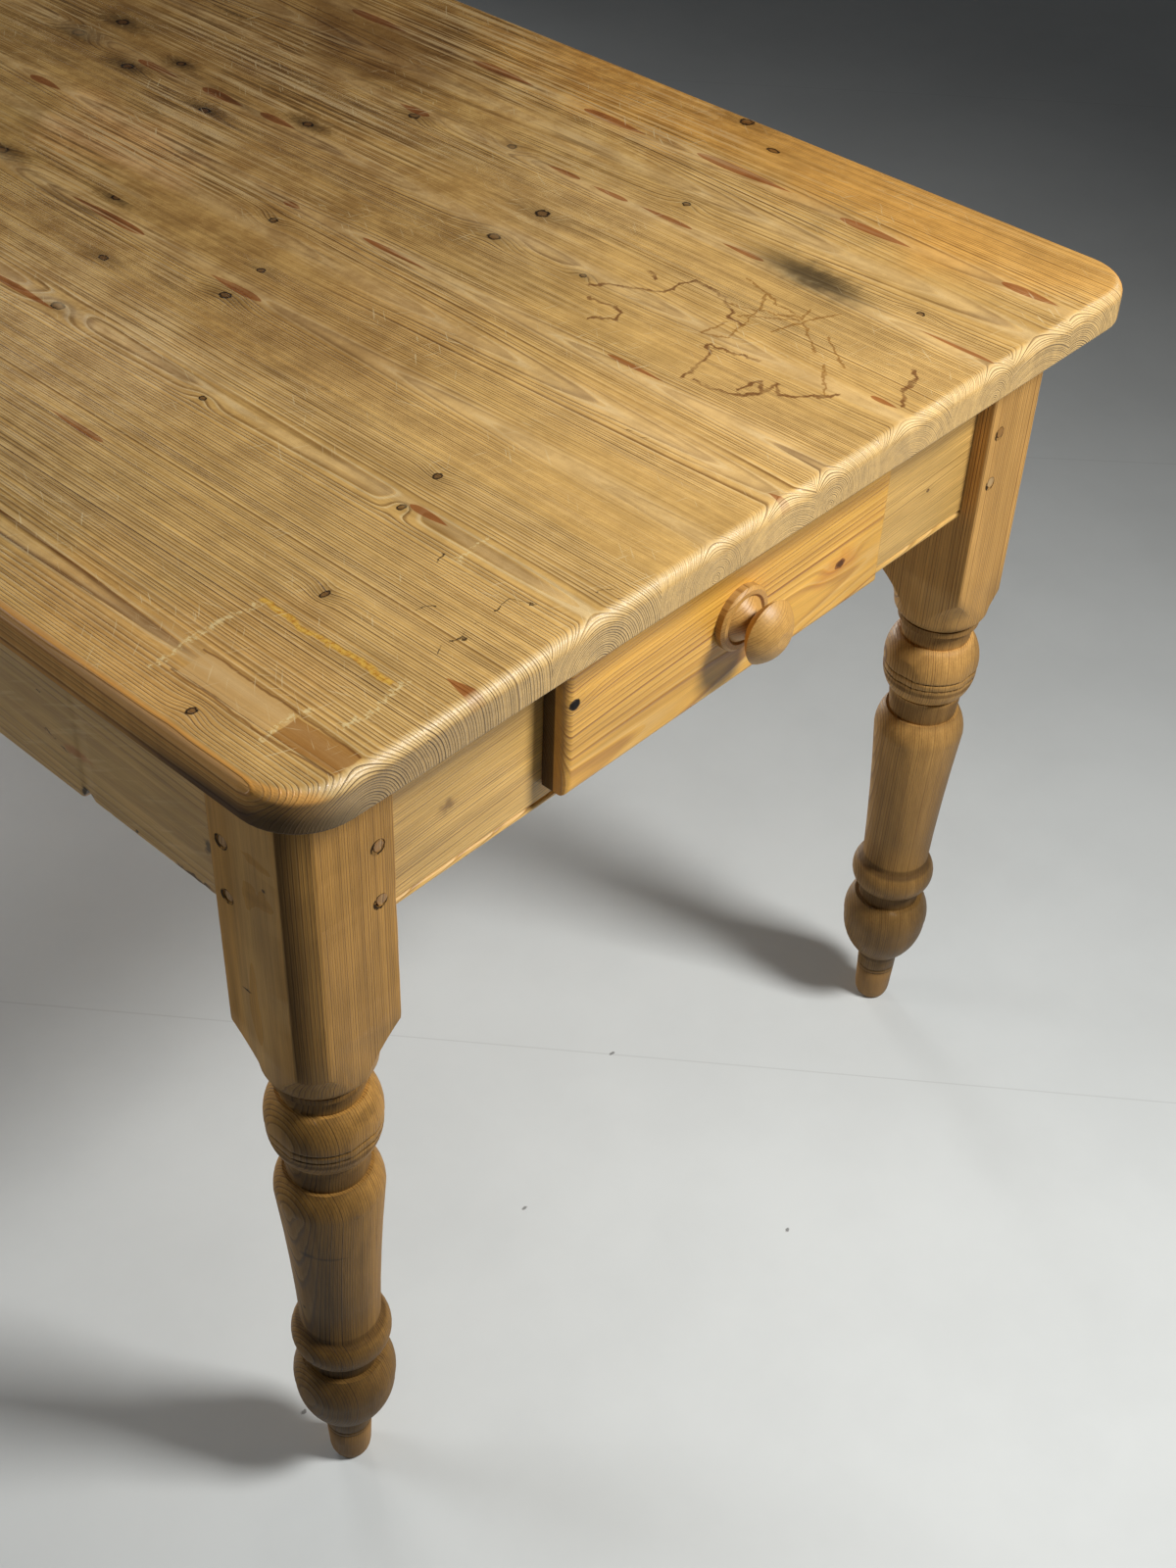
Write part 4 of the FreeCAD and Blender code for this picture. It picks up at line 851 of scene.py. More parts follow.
for number, board in enumerate(BOARDS, start=1):
    heart, depth, lean, spacing, start, knots, tips = board
    knots = [(x / 1000, y / 1000, size / 1000, draw, dirt) for x, y, size, draw, dirt in knots]
    tips = [[length / 1000 for length in tip] for tip in tips]
    grain, strip_reach = (STRAIGHT, 0.007) if number <= STRAIGHT_BOARDS else (FLAMED, 0.014)
    node = f"top_board_{number}"
    span = [corner.x * 1000 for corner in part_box(node)]
    finish = worn_top(span, heart / 1000, strip_reach, tips)
    dress(node, pine(f"{node}_pine", "Y", (heart / 1000, TOP_FACE - depth / 1000), (0, lean),
                     spacing / 1000, knots, start=start, figure=1.0, relief=0.9, finish=finish,
                     **grain))
print(len(BOARDS), "boards dressed")

# %% [markdown]
# ## Grime on the turned legs
#
# Dirt gathers where a cloth doesn't reach: in the necks between the beads, in the scored
# lines and low down, all at heights that one list of bands gives.  Towards the floor the leg
# is darker, partly dirt and partly painted shade, with the foot lighter again.  Painted shade
# fills the inner chamfers of the square and darkens the turning on the side that faces away
# from the table.
# The leg nearest the drawer's left end has its own few knots and knocks.

# %% Grimy bands and knocks
NECKS = [(0.145, 0.014), (0.181, 0.006), (0.367, 0.015), (0.3955, 0.003), (0.452, 0.017),
         (0.059, 0.006)]
SCORED = [0.408, 0.401, 0.042, 0.038]
SQUARE_STARTS = (0.45, 0.5)
PEG_RADIUS, PEG_PITCH, PEG_STAGGER = 0.0045, 0.044, 0.0035
GAP_ASIDE, GAP_BELOW = 0.0009, 0.0007
KNOCKED_LEG = "leg_front_left"
KNOCKS = [
    # centre; reach; how dark
    ((-0.368, -0.692, 0.2925), (0.009, 0.008, 0.004), 0.75),
    ((-0.362, -0.705, 0.2915), (0.016, 0.016, 0.002), 0.5),
    ((-0.3685, -0.681, 0.216), (0.002, 0.002, 0.0022), 0.95),
    ((-0.3396, -0.7164, 0.425), (0.005, 0.004, 0.003), 0.7),
    ((-0.332, -0.7164, 0.428), (0.014, 0.008, 0.007), 0.3),
    ((-0.3766, -0.6922, 0.6425), (0.004, 0.0022, 0.0022), 0.8),
    ((-0.3766, -0.6658, 0.5407), (0.004, 0.0055, 0.0012), 0.9)]


def peg_gaps(leg):
    """The middle of the gap round each peg's end, and the two axes that cross the peg."""
    low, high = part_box(leg.replace("leg", "pegs"))
    (inner_x, outer_x), (inner_y, outer_y) = (sorted((low[i], high[i]), key=abs) for i in (0, 1))
    x = inner_x + math.copysign(PEG_RADIUS, inner_x) - GAP_ASIDE
    y = inner_y + math.copysign(PEG_RADIUS, inner_y) + GAP_ASIDE
    z = low.z + PEG_RADIUS - GAP_BELOW
    gaps = [((x, outer_y, z + step), (1, 0, 1)) for step in (0, PEG_PITCH)]
    return gaps + [((outer_x, y, z + PEG_STAGGER + step), (0, 1, 1)) for step in (0, PEG_PITCH)]


def grime_and_shade(leg):
    """A finish for a leg: bands of dirt, dark scored lines, painted shade, peg holes and its own
    knocks.
    """
    low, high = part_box(leg)
    middle = (low + high) / 2
    outward = [math.copysign(0.707, value) for value in middle[:2]]
    further = abs(abs(middle.y) - abs(middle.x))

    def finish(w, place):
        split, normal = w.parts(place), w.normal()
        height, face = split["Z"], w.parts(normal)
        patchy = w.slope(w.noise(place, (40, 40, 22), 3.0), 0.3, 0.65, 0.55, 1.0)
        dirt = 0.0
        for neck, half in NECKS:
            dirt = w.math("MAXIMUM", dirt, w.fall(w.away(height, neck), half * 0.45, half))
        w.mark(w.times(dirt, patchy), 0.56, paint(70, 42, 16), 0.85)
        dashes = w.slope(w.noise(place, (260, 260, 20)), 0.4, 0.55, 0.35, 1.0)
        for line in SCORED:
            score = w.times(w.fall(w.away(height, line), 0.0003, 0.001), dashes)
            w.mark(score, 0.75, paint(44, 28, 12))
        # Darker towards the floor, partly dirt and partly painted shade; the next line paints the
        # foot lighter again.
        w.shade(w.slope(height, -0.05, 0.56, 0.27, 1.0))
        w.mark(w.fall(height, 0.032, 0.046), 0.7, paint(158, 120, 72))
        # Painted shade on the side of the turning that faces away from the table.
        shade = w.slope(w.vector("DOT_PRODUCT", normal, (*outward, 0)), 0.35, 0.95)
        w.tone(w.times(shade, w.fall(height, *SQUARE_STARTS)), 0.75, (0.46, 0.46, 0.46))
        apart = w.math("SUBTRACT", w.math("ABSOLUTE", split["Y"]), w.math("ABSOLUTE", split["X"]))
        inner_side = w.fall(w.math("SUBTRACT", apart, further), -0.0145, 0.012)
        corner = w.times(*(w.slope(w.math("ABSOLUTE", face[axis]), 0.2, 0.6) for axis in "XY"))
        # Painted shade in the inner chamfers of the square.
        chamfer_shade = w.times(corner, inner_side, w.slope(height, *SQUARE_STARTS))
        w.mark(chamfer_shade, 0.72, paint(58, 38, 14), 0.85)
        for hub, across in peg_gaps(leg):
            offset = w.vector("MULTIPLY", w.vector("SUBTRACT", place, hub), across)
            away = w.away(w.vector("LENGTH", offset), PEG_RADIUS)
            facing = w.math("ABSOLUTE", face["Y" if across[0] else "X"])
            away = w.math("ADD", away, w.fall(facing, 0.8, 0.9))
            broken = w.slope(w.noise(place, (190, 190, 190)), 0.42, 0.5, 0.3, 1.0)
            gap = w.times(w.fall(away, 0.0009, 0.0016), broken)
            w.mark(gap, 0.95, paint(26, 16, 8), 0.9)
        w.mottle(w.noise(place, (22, 22, 9), 4.0, 0.6), 0.86, 1.08)
        for centre, reach, amount in KNOCKS if leg == KNOCKED_LEG else ():
            w.blot(w.shaken(place, 240, 0.003), centre, reach, 0.6, amount, paint(38, 26, 14))

    return finish


print(len(NECKS), "dirty necks,", len(SCORED), "scored lines and", len(KNOCKS), "knocks")

# %% [markdown]
# ## Aprons and drawer fronts
#
# The long aprons are dull and stained, and torn along the lower edge.  A drawer's front is
# one bright orange board; where its lip ends, dirt and painted shade darken the inner half.
# Close under the top's overhang, painted shade darkens both the drawer fronts and the end aprons.

# %% Finishes for the boards of the frame
STAINS = [
    # along the side and height; reach along and up; amount; colour
    ((-0.497, 0.6175), (0.017, 0.0045), 0.5, paint(170, 92, 30)),
    ((-0.463, 0.6495), (0.004, 0.0012), 0.9, paint(34, 24, 16)),
    ((-0.482, 0.6145), (0.005, 0.0014), 0.85, paint(44, 26, 14)),
    ((-0.468, 0.6165), (0.007, 0.0009), 0.7, paint(60, 38, 20)),
    ((-0.6235, 0.623), (0.005, 0.008), 0.75, paint(46, 34, 22)),
    ((-0.5496, 0.5855), (0.003, 0.0022), 0.9, paint(30, 20, 12)),
    ((-0.499, 0.586), (0.009, 0.0062), 0.9, paint(34, 22, 12)),
    ((-0.605, 0.5845), (0.024, 0.0028), 0.85, paint(58, 32, 16))]
STAINED_FACE = -0.3626
DRAWER_FACE = -0.7275
LIP_MIDDLE = (0.7168, 0.7178)
# A grey tint for painted shade close under the top's overhang.
UNDER_TOP_SHADE = (0.68, 0.67, 0.74)


def dull_side(w, place):
    """Dust in soft diagonal smears, an orange stain, dark specks and a dark torn edge."""
    smear = w.noise(w.turned(place, 0.5, "X"), (8, 14, 190), 3.0, 0.6)
    w.mark(w.slope(smear, 0.54, 0.72), 0.3, paint(226, 198, 146))
    w.mottle(w.noise(place, (12, 7, 34), 4.0, 0.66), 0.84, 1.1)
    ragged = w.shaken(place, 90, 0.014)
    for centre, reach, amount, colour in STAINS:
        w.blot(ragged, (STAINED_FACE, *centre), (0.02, *reach), 0.55, amount, colour)


def lip_ends(w, place):
    """The inner half of a drawer front's end is dark with dirt and painted shade, the outer half
    pale; painted shade also darkens the front under the top's overhang.
    """
    split = w.parts(place)
    depth = w.math("ABSOLUTE", split["Y"])
    end = w.slope(w.math("ABSOLUTE", w.parts(w.normal())["X"]), 0.8, 0.95)
    # Dirt and painted shade on the inner half of the lip's end.
    w.mark(w.times(end, w.fall(depth, *LIP_MIDDLE)), 0.95, paint(52, 34, 16))
    w.mark(w.times(end, w.slope(depth, *LIP_MIDDLE)), 0.6, paint(178, 142, 88))
    w.blot(w.shaken(place, 60, 0.02), (0.110, DRAWER_FACE, 0.641), (0.034, 0.02, 0.016), 0.8, 0.4,
           paint(210, 124, 34))
    w.blot(w.shaken(place, 200, 0.004), (0.112, DRAWER_FACE, 0.641), (0.0058, 0.01, 0.0042), 0.5,
           0.85, paint(60, 30, 12), 0.8)
    w.blot(w.shaken(place, 160, 0.004), (-0.157, DRAWER_FACE, 0.672), (0.0052, 0.01, 0.0046), 0.35,
           1.0, paint(18, 12, 8), 1.0)
    w.mottle(w.noise(place, (7, 7, 26), 3.0), 0.88, 1.06)
    # Painted shade on the drawer front close under the top's overhang.
    w.tone(w.slope(split["Z"], 0.680, 0.690), 0.85, UNDER_TOP_SHADE)


def plain_end(w, place):
    """An end apron: a soft brown branch mark, slow changes of tone and painted shade under the
    top's overhang.
    """
    w.blot(w.shaken(place, 110, 0.012), (-0.245, -0.7065, 0.633), (0.011, 0.02, 0.0075), 0.75, 0.7,
           paint(112, 78, 44))
    w.mottle(w.noise(place, (9, 9, 24), 3.0, 0.6), 0.86, 1.1)
    # Painted shade on the end apron close under the top's overhang.
    w.tone(w.slope(w.parts(place)["Z"], 0.656, 0.667), 0.85, UNDER_TOP_SHADE)


def handled(middle):
    """A finish for a knob: dirt in the step of its foot, in its neck and round its edge."""
    front = math.copysign(1, middle.y)

    def finish(w, place):
        offset = w.vector("SUBTRACT", place, middle)
        radius = w.vector("LENGTH", w.vector("MULTIPLY", offset, (1, 0, 1)))
        out = w.times(w.parts(offset)["Y"], front)
        step = w.times(w.fall(w.away(radius, 0.0178), 0.0004, 0.0014),
                       w.fall(out, -0.0116, -0.0104))
        edge = w.times(w.slope(radius, 0.0228, 0.0238), w.fall(out, -0.016, -0.013))
        neck = w.times(w.slope(w.away(out, -0.003), 0.001, 0.006, 0.6, 0.0),
                       w.fall(radius, 0.009, 0.0145))
        dirt = w.math("MAXIMUM", w.math("MAXIMUM", step, edge), neck)
        w.mark(dirt, 0.32, paint(62, 38, 14), 0.7)

    return finish


print(len(STAINS), "stains on the long side")

# %% Dress the frame and drawers
FRONT_KNOTS = [(0.672, -0.157, 0.0040, 1.0, 0.1), (0.641, 0.112, 0.0034, 1.6, 0.1)]
BACK_KNOTS = [(0.655, 0.070, 0.0036, 1.4, 0.1)]
APRON_KNOTS = {"apron_front": [(0.628, 0.248, 0.0014, 1.2, 0.1)],
               "apron_back": [(0.640, 0.262, 0.0024, 1.3, 0.2)]}
DRESSED_ELSEWHERE = ("top_board", "pegs_")


def frame_wood(node, low, high):
    """The wood of one piece of the frame or of a drawer."""
    middle = (low + high) / 2
    name = f"{node}_pine"
    front = middle.y < 0
    if node.startswith("leg_"):
        heart, tones = (middle.x + 0.60, middle.y), LEG_TONES
        if middle.x > 0:
            heart = (middle.x + 0.40, middle.y + math.copysign(0.42, middle.y))
            tones = PALE_LEG_TONES
        return pine(name, "Z", heart, spacing=0.0018, tones=tones, wander=0.003, figure=1.0,
                    steady=0.8, pale=0.12, gloss=0.5, shine=0.2, finish=grime_and_shade(node))
    if node in ("apron_left", "apron_right"):
        return pine(name, "Y", (middle.x + 0.1, middle.z - 0.02), (0, 0.02), 0.0024,
                    tones=SIDE_TONES, figure=0.75, pale=0.15, gloss=0.5, finish=dull_side)
    if node.startswith("apron_"):
        return pine(name, "X", (middle.z - 0.22, middle.y + 0.05), (0.07, 0), 0.0023,
                    APRON_KNOTS[node], APRON_TONES, figure=0.9, pale=0.3, finish=plain_end)
    if "drawer_front" in node:
        heart = (middle.z - 0.045, middle.y + (0.06 if front else -0.06))
        return pine(name, "X", heart, (0.08, 0.018), 0.0024, FRONT_KNOTS if front else BACK_KNOTS,
                    DRAWER_TONES, figure=0.95, pale=0.2, gloss=0.34, finish=lip_ends)
    if node.endswith("drawer_knob"):
        return pine(name, "Y", (middle.x + 0.02, middle.z - 0.05), spacing=0.0018, tones=KNOB_TONES,
                    figure=0.7, pale=0.1, gloss=0.44, relief=0.25, finish=handled(middle))
    axis = "X" if (high - low).x > (high - low).y else "Y"
    heart = (middle.z - 0.1, middle.y + 0.05) if axis == "X" else (middle.x + 0.1, middle.z)
    return pine(name, axis, heart, tones=INNER_TONES, figure=0.7, gloss=0.55)


for node in nodes:
    if slots[node] != "steel" and not node.startswith(DRESSED_ELSEWHERE):
        dress(node, frame_wood(node, *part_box(node)))
print("frame and drawers dressed")

# %% [markdown]
# ## Worn edges and scored lines
#
# Knees and cloths have rounded every arris, the soles of the feet are rounded by dragging,
# and the turner scored thin lines round the beads.  A solid comes as loose triangles, so a
# copy of its mesh is merged and its flat faces joined before its long sharp edges are
# bevelled.  A Bevel modifier would also catch the small facets of the turning, so the edges
# are picked here by length and angle.

# %% Copy a solid's mesh and soften its long edges
def clean_copy(node):
    """A copy of a solid's mesh with its triangles merged and its flat faces joined."""
    shape = bmesh.new()
    shape.from_mesh(nodes[node].data)
    bmesh.ops.remove_doubles(shape, verts=shape.verts, dist=1e-6)
    bmesh.ops.dissolve_limit(shape, angle_limit=math.radians(0.3), verts=shape.verts,
                             edges=shape.edges)
    return shape


def soften(shape, width, shortest=0.02, segments=3):
    """Round the convex sharp edges that are at least as long as the shortest."""
    arrises = [edge for edge in shape.edges if edge.is_manifold and edge.is_convex
               and edge.calc_length() > shortest and edge.calc_face_angle() > math.radians(28)]
    bmesh.ops.bevel(shape, geom=arrises, offset=width, segments=segments, profile=0.5,
                    affect="EDGES", clamp_overlap=True)
    return len(arrises)


def cut(shape, axis, place):
    """A ring of edges where a flat cut across an axis would meet the shape."""
    direction = Vector(tuple(float(letter == axis) for letter in "XYZ"))
    everything = shape.verts[:] + shape.edges[:] + shape.faces[:]
    bmesh.ops.bisect_plane(shape, geom=everything, dist=1e-7, plane_co=direction * place,
                           plane_no=direction)


def stand_in(shape, node):
    """The finished shape as a piece that is shown in the solid's stead."""
    mesh = bpy.data.meshes.new(f"{node}_worn")
    shape.to_mesh(mesh)
    shape.free()
    mesh.shade_smooth()
    mesh.set_sharp_from_angle(angle=math.radians(35))
    mesh.materials.append(nodes[node].material_slots[0].material)
    piece = bpy.data.objects.new(f"{node}_worn", mesh)
    scene.collection.objects.link(piece)
    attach(piece, body_of(nodes[node])[0])
    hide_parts(node)
    return piece


sample = clean_copy("apron_left")
print("apron_left:", len(nodes["apron_left"].data.polygons), "faces merge into", len(sample.faces))
sample.free()

# %% The legs
LEG_ROUNDING = 0.0028
SQUARE_CUTS = [0.505 + 0.007 * step for step in range(1, 34)]
NIBBLE_FROM, NIBBLE_DEPTH = 0.508, 0.0006
SCORE_HALF, SCORE_DEPTH = 0.0009, 0.001
SOLE_CUTS = (0.002, 0.0045, 0.0075, 0.011)
SOLE_TOP, SOLE_RADII = 0.0145, (0.0112, 0.0161)


def inward(vert, middle):
    """The level direction from a corner of the mesh to the leg's middle line."""
    return Vector((middle.x - vert.co.x, middle.y - vert.co.y, 0))


def nibble(shape, middle):
    """Push the rounded arrises of a leg's square inward here and there."""
    for vert in shape.verts:
        if vert.co.z < NIBBLE_FROM:
            continue
        normals = [face.normal for face in vert.link_faces]
        if min(first.dot(second) for first in normals for second in normals) < 0.99:
            wave = noise.noise(vert.co * 90) * 0.5 + noise.noise(vert.co * 23)
            vert.co += inward(vert, middle).normalized() * NIBBLE_DEPTH * max(0.0, wave)


def score(shape, middle, line):
    """Press one thin line into the turning."""
    for offset in (-SCORE_HALF, 0.0, SCORE_HALF):
        cut(shape, "Z", line + offset)
    for vert in shape.verts:
        if abs(vert.co.z - line) < 1e-5:
            vert.co += inward(vert, middle).normalized() * SCORE_DEPTH


def round_sole(shape, middle):
    """Let the foot bulge out from a narrow sole, by a quarter circle's rule."""
    for height in SOLE_CUTS:
        cut(shape, "Z", height)
    for vert in shape.verts:
        if 0.0005 < vert.co.z < SOLE_TOP:
            outward = -inward(vert, middle)
            round_off = math.sqrt(1 - (1 - vert.co.z / SOLE_TOP) ** 2)
            wanted = SOLE_RADII[0] + (SOLE_RADII[1] - SOLE_RADII[0]) * round_off
            vert.co += outward.normalized() * max(0.0, wanted - outward.length)


def worn_leg(node):
    """Make the stand-in for one leg, with every kind of wear."""
    low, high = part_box(node)
    middle = (low + high) / 2
    shape = clean_copy(node)
    rounded = soften(shape, LEG_ROUNDING)
    for height in SQUARE_CUTS:
        cut(shape, "Z", height)
    nibble(shape, middle)
    for line in SCORED:
        score(shape, middle, line)
    round_sole(shape, middle)
    piece = stand_in(shape, node)
    print(node, rounded, "arrises,", len(piece.data.polygons), "faces")


for node in nodes:
    if node.startswith("leg_"):
        worn_leg(node)

# %% [markdown]
# ## The aprons' edges
#
# The near long apron has lost a splinter from its lower edge, so the edge steps up and
# stays ragged.  The mesh is cut every few millimetres along its length, and the lowest
# corners are lifted by a rule of where they stand.

# %% The aprons
APRON_ROUNDING, SHORTEST_ARRIS = 0.0012, 0.1
TORN_FROM, TORN_TO, TEAR_DEPTH = -0.497, -0.640, 0.0042
TEAR_CUTS = [TORN_FROM + 0.012 + (TORN_TO - TORN_FROM) * step / 56 for step in range(60)]
TEAR_HIGH, TEAR_THICK = 0.003, 0.009


def torn_edge(shape, face_x, low_z):
    """Lift the lower outer edge: a steep step, a notch beside it and ragged wood beyond."""
    for place in TEAR_CUTS:
        cut(shape, "Y", place)
    for vert in shape.verts:
        if vert.co.z > low_z + TEAR_HIGH or abs(vert.co.x - face_x) > TEAR_THICK:
            continue
        inside = TORN_FROM - vert.co.y
        lift = TEAR_DEPTH * min(1.0, max(0.0, inside / 0.002))
        notch = max(0.0, 1.0 - abs(inside - 0.004) / 0.007) * 0.007
        ragged = noise.noise(Vector((0, vert.co.y * 160, 3))) * 0.0007
        if inside > -0.008:
            vert.co.z += lift + notch + (ragged if lift > 0 else 0)


for node in ("apron_left", "apron_right", "apron_front", "apron_back"):
    low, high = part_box(node)
    shape = clean_copy(node)
    rounded = soften(shape, APRON_ROUNDING, SHORTEST_ARRIS)
    if node == "apron_left":
        torn_edge(shape, low.x, low.z)
    piece = stand_in(shape, node)
    print(node, rounded, "arrises,", len(piece.data.polygons), "faces")

# %% [markdown]
# ## Pegs and screws
#
# Each leg is held by four pegs that a joiner split and shaved by hand, so none is round,
# and a dark gap shows beside each.  The buttons under the top have slotted screws.  Both
# repeat, so Geometry Nodes put one peg or one screw on every point of a small point cloud.

# %% Where the repeated parts are
def loose_parts(node):
    """The boxes of a solid's separate parts, each as its lowest and highest corner."""
    shape = clean_copy(node)
    waiting, boxes = set(shape.verts), []
    while waiting:
        open_ends = [waiting.pop()]
        places = [open_ends[0].co.copy()]
        while open_ends:
            for edge in open_ends.pop().link_edges:
                for vert in edge.verts:
                    if vert in waiting:
                        waiting.remove(vert)
                        open_ends.append(vert)
                        places.append(vert.co.copy())
        boxes.append((Vector(tuple(min(place[i] for place in places) for i in range(3))),
                      Vector(tuple(max(place[i] for place in places) for i in range(3)))))
    shape.free()
    return sorted(boxes, key=lambda box: tuple(round(value, 5) for value in box[0]))


def point_cloud(name, places, directions):
    """A mesh of points alone; each carries the direction that its part points in."""
    mesh = bpy.data.meshes.new(name)
    mesh.from_pydata(places, [], [])
    facing = mesh.attributes.new("facing", "FLOAT_VECTOR", "POINT")
    for index, direction in enumerate(directions):
        facing.data[index].vector = direction
    cloud = bpy.data.objects.new(name, mesh)
    scene.collection.objects.link(cloud)
    return cloud


print(len(loose_parts("button_screws")), "screws found")

# %% Trees that build a peg and a screw on each point
def repeating_tree(name, sizes):
    """A geometry tree with a geometry input, named sizes and a seed."""
    tree = bpy.data.node_groups.new(name, "GeometryNodeTree")
    tree.interface.new_socket("Points", in_out="INPUT", socket_type="NodeSocketGeometry")
    for label, default in sizes.items():
        socket = tree.interface.new_socket(label, in_out="INPUT", socket_type=NUMBER)
        socket.default_value = default
    seed = tree.interface.new_socket("Seed", in_out="INPUT", socket_type="NodeSocketInt")
    seed.default_value = 1
    tree.interface.new_socket("Parts", in_out="OUTPUT", socket_type="NodeSocketGeometry")
    w = Wiring(tree)
    return tree, w, w.add("NodeGroupInput").outputs, w.add("NodeGroupOutput").inputs


def on_points(w, given, made, part, material, shake=None):
    """Put the part on every point, turned to its direction, and give it its material."""
    facing = w.add("GeometryNodeInputNamedAttribute", {"Name": "facing"},
                   data_type="FLOAT_VECTOR").outputs["Attribute"]
    turn = w.add("FunctionNodeAlignRotationToVector", {"Vector": facing}, axis="Z").outputs[0]
    angle = w.add("FunctionNodeRandomValue", {"Seed": given["Seed"], "Max": 3.0}, data_type="FLOAT")
    about = w.add("FunctionNodeAxisAngleToRotation",
                  {"Axis": (0, 0, 1), "Angle": next(s for s in angle.outputs if s.enabled)})
    turn = w.add("FunctionNodeRotateRotation", {0: turn, 1: about.outputs[0]},
                 rotation_space="LOCAL").outputs[0]
    parts = w.add("GeometryNodeInstanceOnPoints",
                  {"Points": given["Points"], "Instance": part, "Rotation": turn}).outputs[0]
    parts = w.add("GeometryNodeRealizeInstances", {"Geometry": parts}).outputs[0]
    if shake is not None:
        wave = w.add("ShaderNodeTexNoise", {"Scale": 210.0, "Detail": 1.0}).outputs["Color"]
        wave = w.vector("SUBTRACT", wave, (0.5, 0.5, 0.5))
        parts = w.add("GeometryNodeSetPosition",
                      {"Geometry": parts, "Offset": w.scaled(wave, shake)}).outputs[0]
    parts = w.add("GeometryNodeSetMaterial", {"Geometry": parts, "Material": material})
    w.feed(parts.outputs[0], made["Parts"])


def peg_tree(wood):
    """Short eleven-sided rods, made uneven by noise."""
    sizes = {"Radius": 0.0041, "Length": 0.044, "Uneven": 0.0020}
    tree, w, given, made = repeating_tree("hand-made pegs", sizes)
    peg = w.add("GeometryNodeMeshCylinder", {"Vertices": 11, "Side Segments": 8,
                                             "Radius": given["Radius"], "Depth": given["Length"]})
    on_points(w, given, made, peg.outputs["Mesh"], wood, given["Uneven"])
    return tree


def screw_tree(steel):
    """Countersunk screws: a cone with a slot cut into it, on a shank."""
    sizes = {"Head Radius": 0.0039, "Head Height": 0.0030, "Shank Radius": 0.0019,
             "Length": 0.0325, "Slot Width": 0.0010}
    tree, w, given, made = repeating_tree("slotted screws", sizes)
    head = w.add("GeometryNodeMeshCone", {"Vertices": 20, "Radius Top": given["Head Radius"],
                                          "Radius Bottom": given["Shank Radius"],
                                          "Depth": given["Head Height"]}).outputs["Mesh"]
    size = w.add("ShaderNodeCombineXYZ", {"X": 0.02, "Y": given["Slot Width"], "Z": 0.0018})
    blade = w.add("GeometryNodeMeshCube", {"Size": size.outputs[0]}).outputs["Mesh"]
    lift = w.add("ShaderNodeCombineXYZ", {"Z": given["Head Height"]}).outputs[0]
    blade = w.add("GeometryNodeTransform", {"Geometry": blade, "Translation": lift}).outputs[0]
    slotted = w.add("GeometryNodeMeshBoolean", {"Mesh 1": head, "Mesh 2": blade},
                    operation="DIFFERENCE").outputs[0]
    shank = w.add("GeometryNodeMeshCylinder", {"Vertices": 12, "Radius": given["Shank Radius"],
                                               "Depth": given["Length"]}).outputs["Mesh"]
    below = w.math("MULTIPLY", given["Length"], -0.5)
    drop = w.add("ShaderNodeCombineXYZ", {"Z": below}).outputs[0]
    shank = w.add("GeometryNodeTransform", {"Geometry": shank, "Translation": drop}).outputs[0]
    join = w.add("GeometryNodeJoinGeometry")
    for piece in (slotted, shank):
        w.feed(piece, join.inputs[0])
    on_points(w, given, made, join.outputs[0], steel)
    return tree


def steel_finish():
    """Dull steel, the same all over."""
    material = bpy.data.materials.new("dull_steel")
    material.use_nodes = True
    shader = material.node_tree.nodes["Principled BSDF"]
    shader.inputs["Base Color"].default_value = paint(150, 146, 138)
    shader.inputs["Metallic"].default_value = 1.0
    shader.inputs["Roughness"].default_value = 0.42
    return material


STEEL = steel_finish()
PEG_WOOD = pine("shaved_peg_pine", "Z", (0.3, 0.1), spacing=0.0025, wander=0.02,
                tones={"early": paint(168, 122, 62), "late": paint(88, 54, 22)})
pegs, screws = peg_tree(PEG_WOOD), screw_tree(STEEL)
count(pegs, screws)

# %% Turn each point cloud into a plain mesh
def grown(cloud, tree, seed, node):
    """Run the tree on the points and keep its result as the piece shown for a solid."""
    modifier = cloud.modifiers.new("parts", "NODES")
    modifier.node_group = tree
    for item in tree.interface.items_tree:
        if item.name == "Seed":
            modifier[item.identifier] = seed
    bpy.context.view_layer.update()
    evaluated = cloud.evaluated_get(bpy.context.evaluated_depsgraph_get())
    mesh = bpy.data.meshes.new_from_object(evaluated)
    cloud.modifiers.remove(modifier)
    cloud.data = mesh
    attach(cloud, body_of(nodes[node])[0])
    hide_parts(node)
    return cloud


PEG_PROUD, PEG_SLIP = 0.0004, Vector((0.0003, 0, 0.0002))
for number, node in enumerate(name for name in sorted(nodes) if name.startswith("pegs_")):
    places, directions = [], []
    for low, high in loose_parts(node):
        middle = (low + high) / 2
        long_x = (high - low).x > (high - low).y
        outward = Vector((math.copysign(long_x, middle.x), math.copysign(not long_x, middle.y), 0))
        places.append(middle + outward * PEG_PROUD + PEG_SLIP)
        directions.append(outward)
    piece = grown(point_cloud(f"{node}_shaved", places, directions), pegs, number, node)
    print(piece.name, len(piece.data.polygons), "faces")

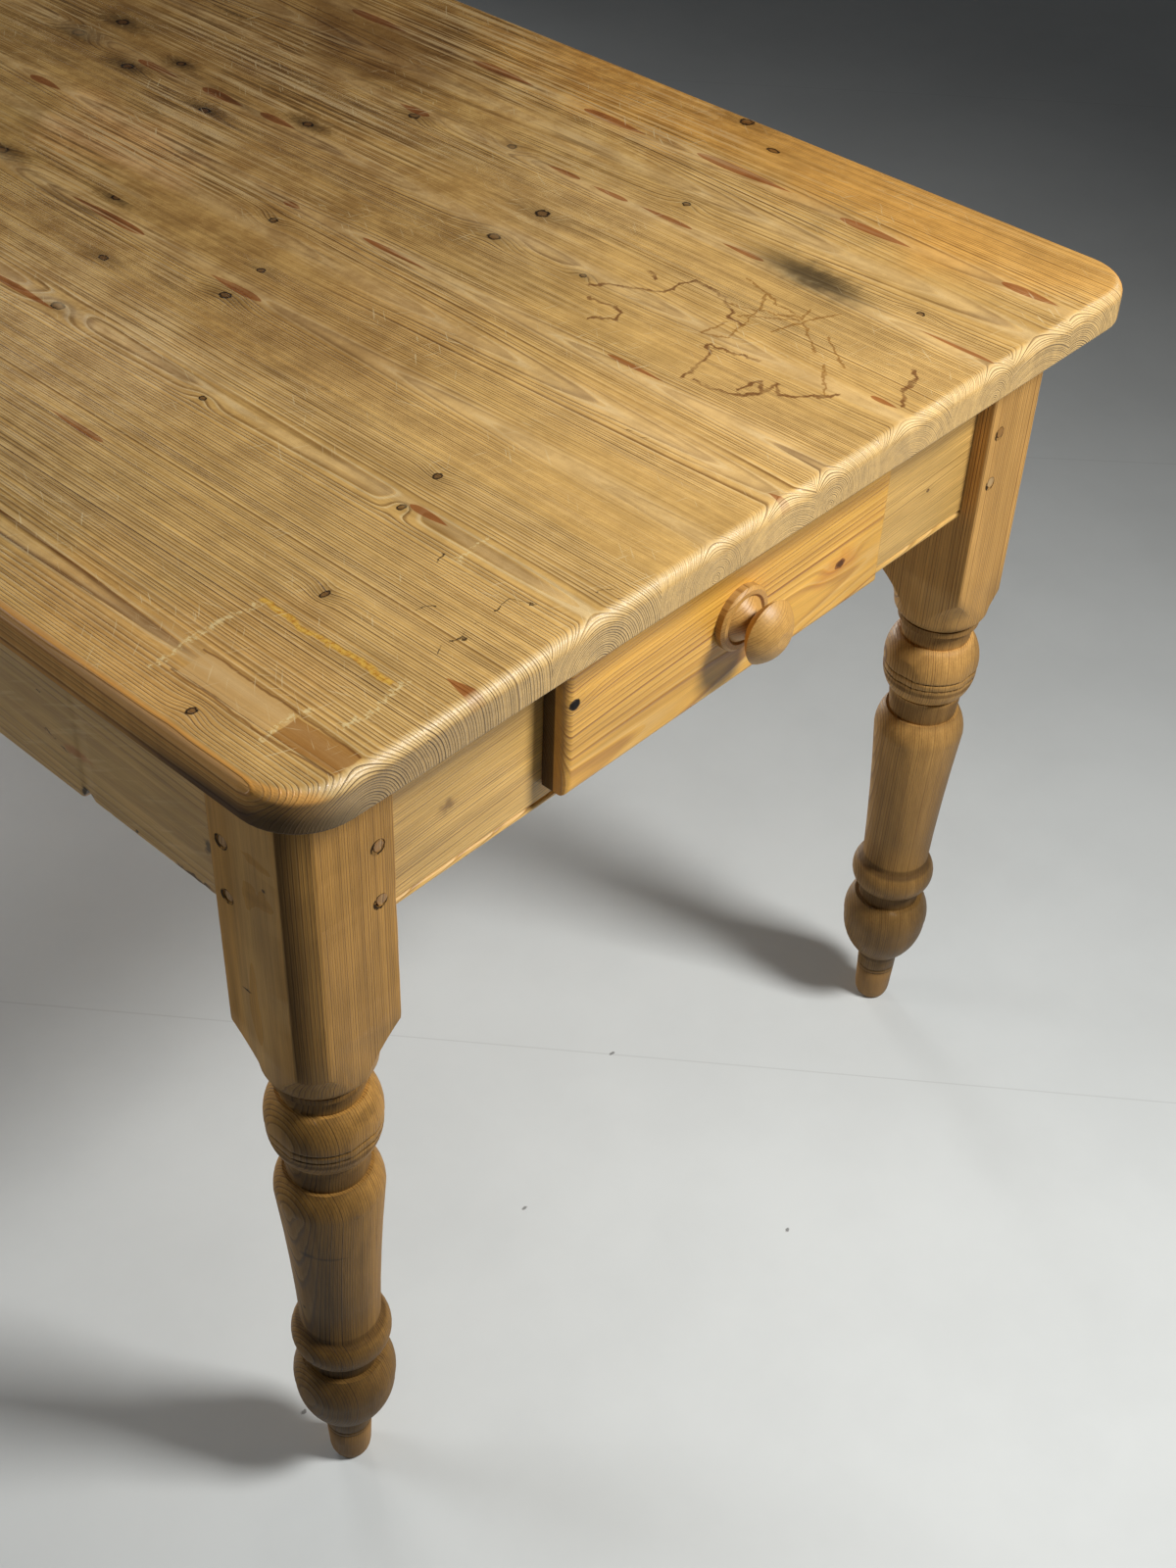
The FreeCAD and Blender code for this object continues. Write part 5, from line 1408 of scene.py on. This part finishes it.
HEAD_DEPTH, SCREW_SEED = 0.0030, 5
screw_places = [Vector(((low.x + high.x) / 2, (low.y + high.y) / 2, low.z + HEAD_DEPTH)) for low,
                high in loose_parts("button_screws")]
downward = [Vector((0, 0, -1))] * len(screw_places)
piece = grown(point_cloud("slotted_button_screws", screw_places, downward), screws, SCREW_SEED,
              "button_screws")
for node in nodes:
    if slots[node] == "steel":
        dress(node, STEEL)
print(piece.name, len(piece.data.polygons), "faces")

# %% [markdown]
# ## The floor
#
# A plain pale floor, so nothing competes with the wood: only faint smudges, the straight
# seams between its sheets and a few specks of dust.

# %% Lay the floor
SEAMS = [[(-256, -102), (422, -972)], [(1130, -125), (1700, -780)], [(1400, 1350), (2500, 25)]]
SPECKS = [(0.060, -0.802), (-0.082, -0.623), (0.102, -0.559), (-0.346, -0.635), (0.52, -0.62)]
FLOOR_REACH = 9


def make_floor():
    """One wide square at the height of the soles."""
    mesh = bpy.data.meshes.new("floor")
    corners = [(-FLOOR_REACH, -FLOOR_REACH, 0), (FLOOR_REACH, -FLOOR_REACH, 0),
               (FLOOR_REACH, FLOOR_REACH, 0), (-FLOOR_REACH, FLOOR_REACH, 0)]
    mesh.from_pydata(corners, [], [(0, 1, 2, 3)])
    floor = bpy.data.objects.new("floor", mesh)
    scene.collection.objects.link(floor)
    material = bpy.data.materials.new("floor_paint")
    material.use_nodes = True
    w = Surface(material.node_tree)
    place = w.add("ShaderNodeTexCoord").outputs["Object"]
    w.colour = paint(205, 209, 209)
    w.mottle(w.noise(place, (5, 5, 1), 5.0, 0.62), 0.965, 1.02)
    w.mark(w.trace(place, SEAMS, 0.0011, (-3000, 4000)), 0.18, paint(120, 120, 118))
    for speck in SPECKS:
        w.blot(w.shaken(place, 200, 0.004), (*speck, 0), (0.0035, 0.002, 1), 0.5, 0.7,
               paint(70, 66, 62))
    shader = material.node_tree.nodes["Principled BSDF"]
    w.feed(w.colour, shader.inputs["Base Color"])
    shader.inputs["Roughness"].default_value = 0.6
    mesh.materials.append(material)


make_floor()
print("floor laid,", 2 * FLOOR_REACH, "m each way")
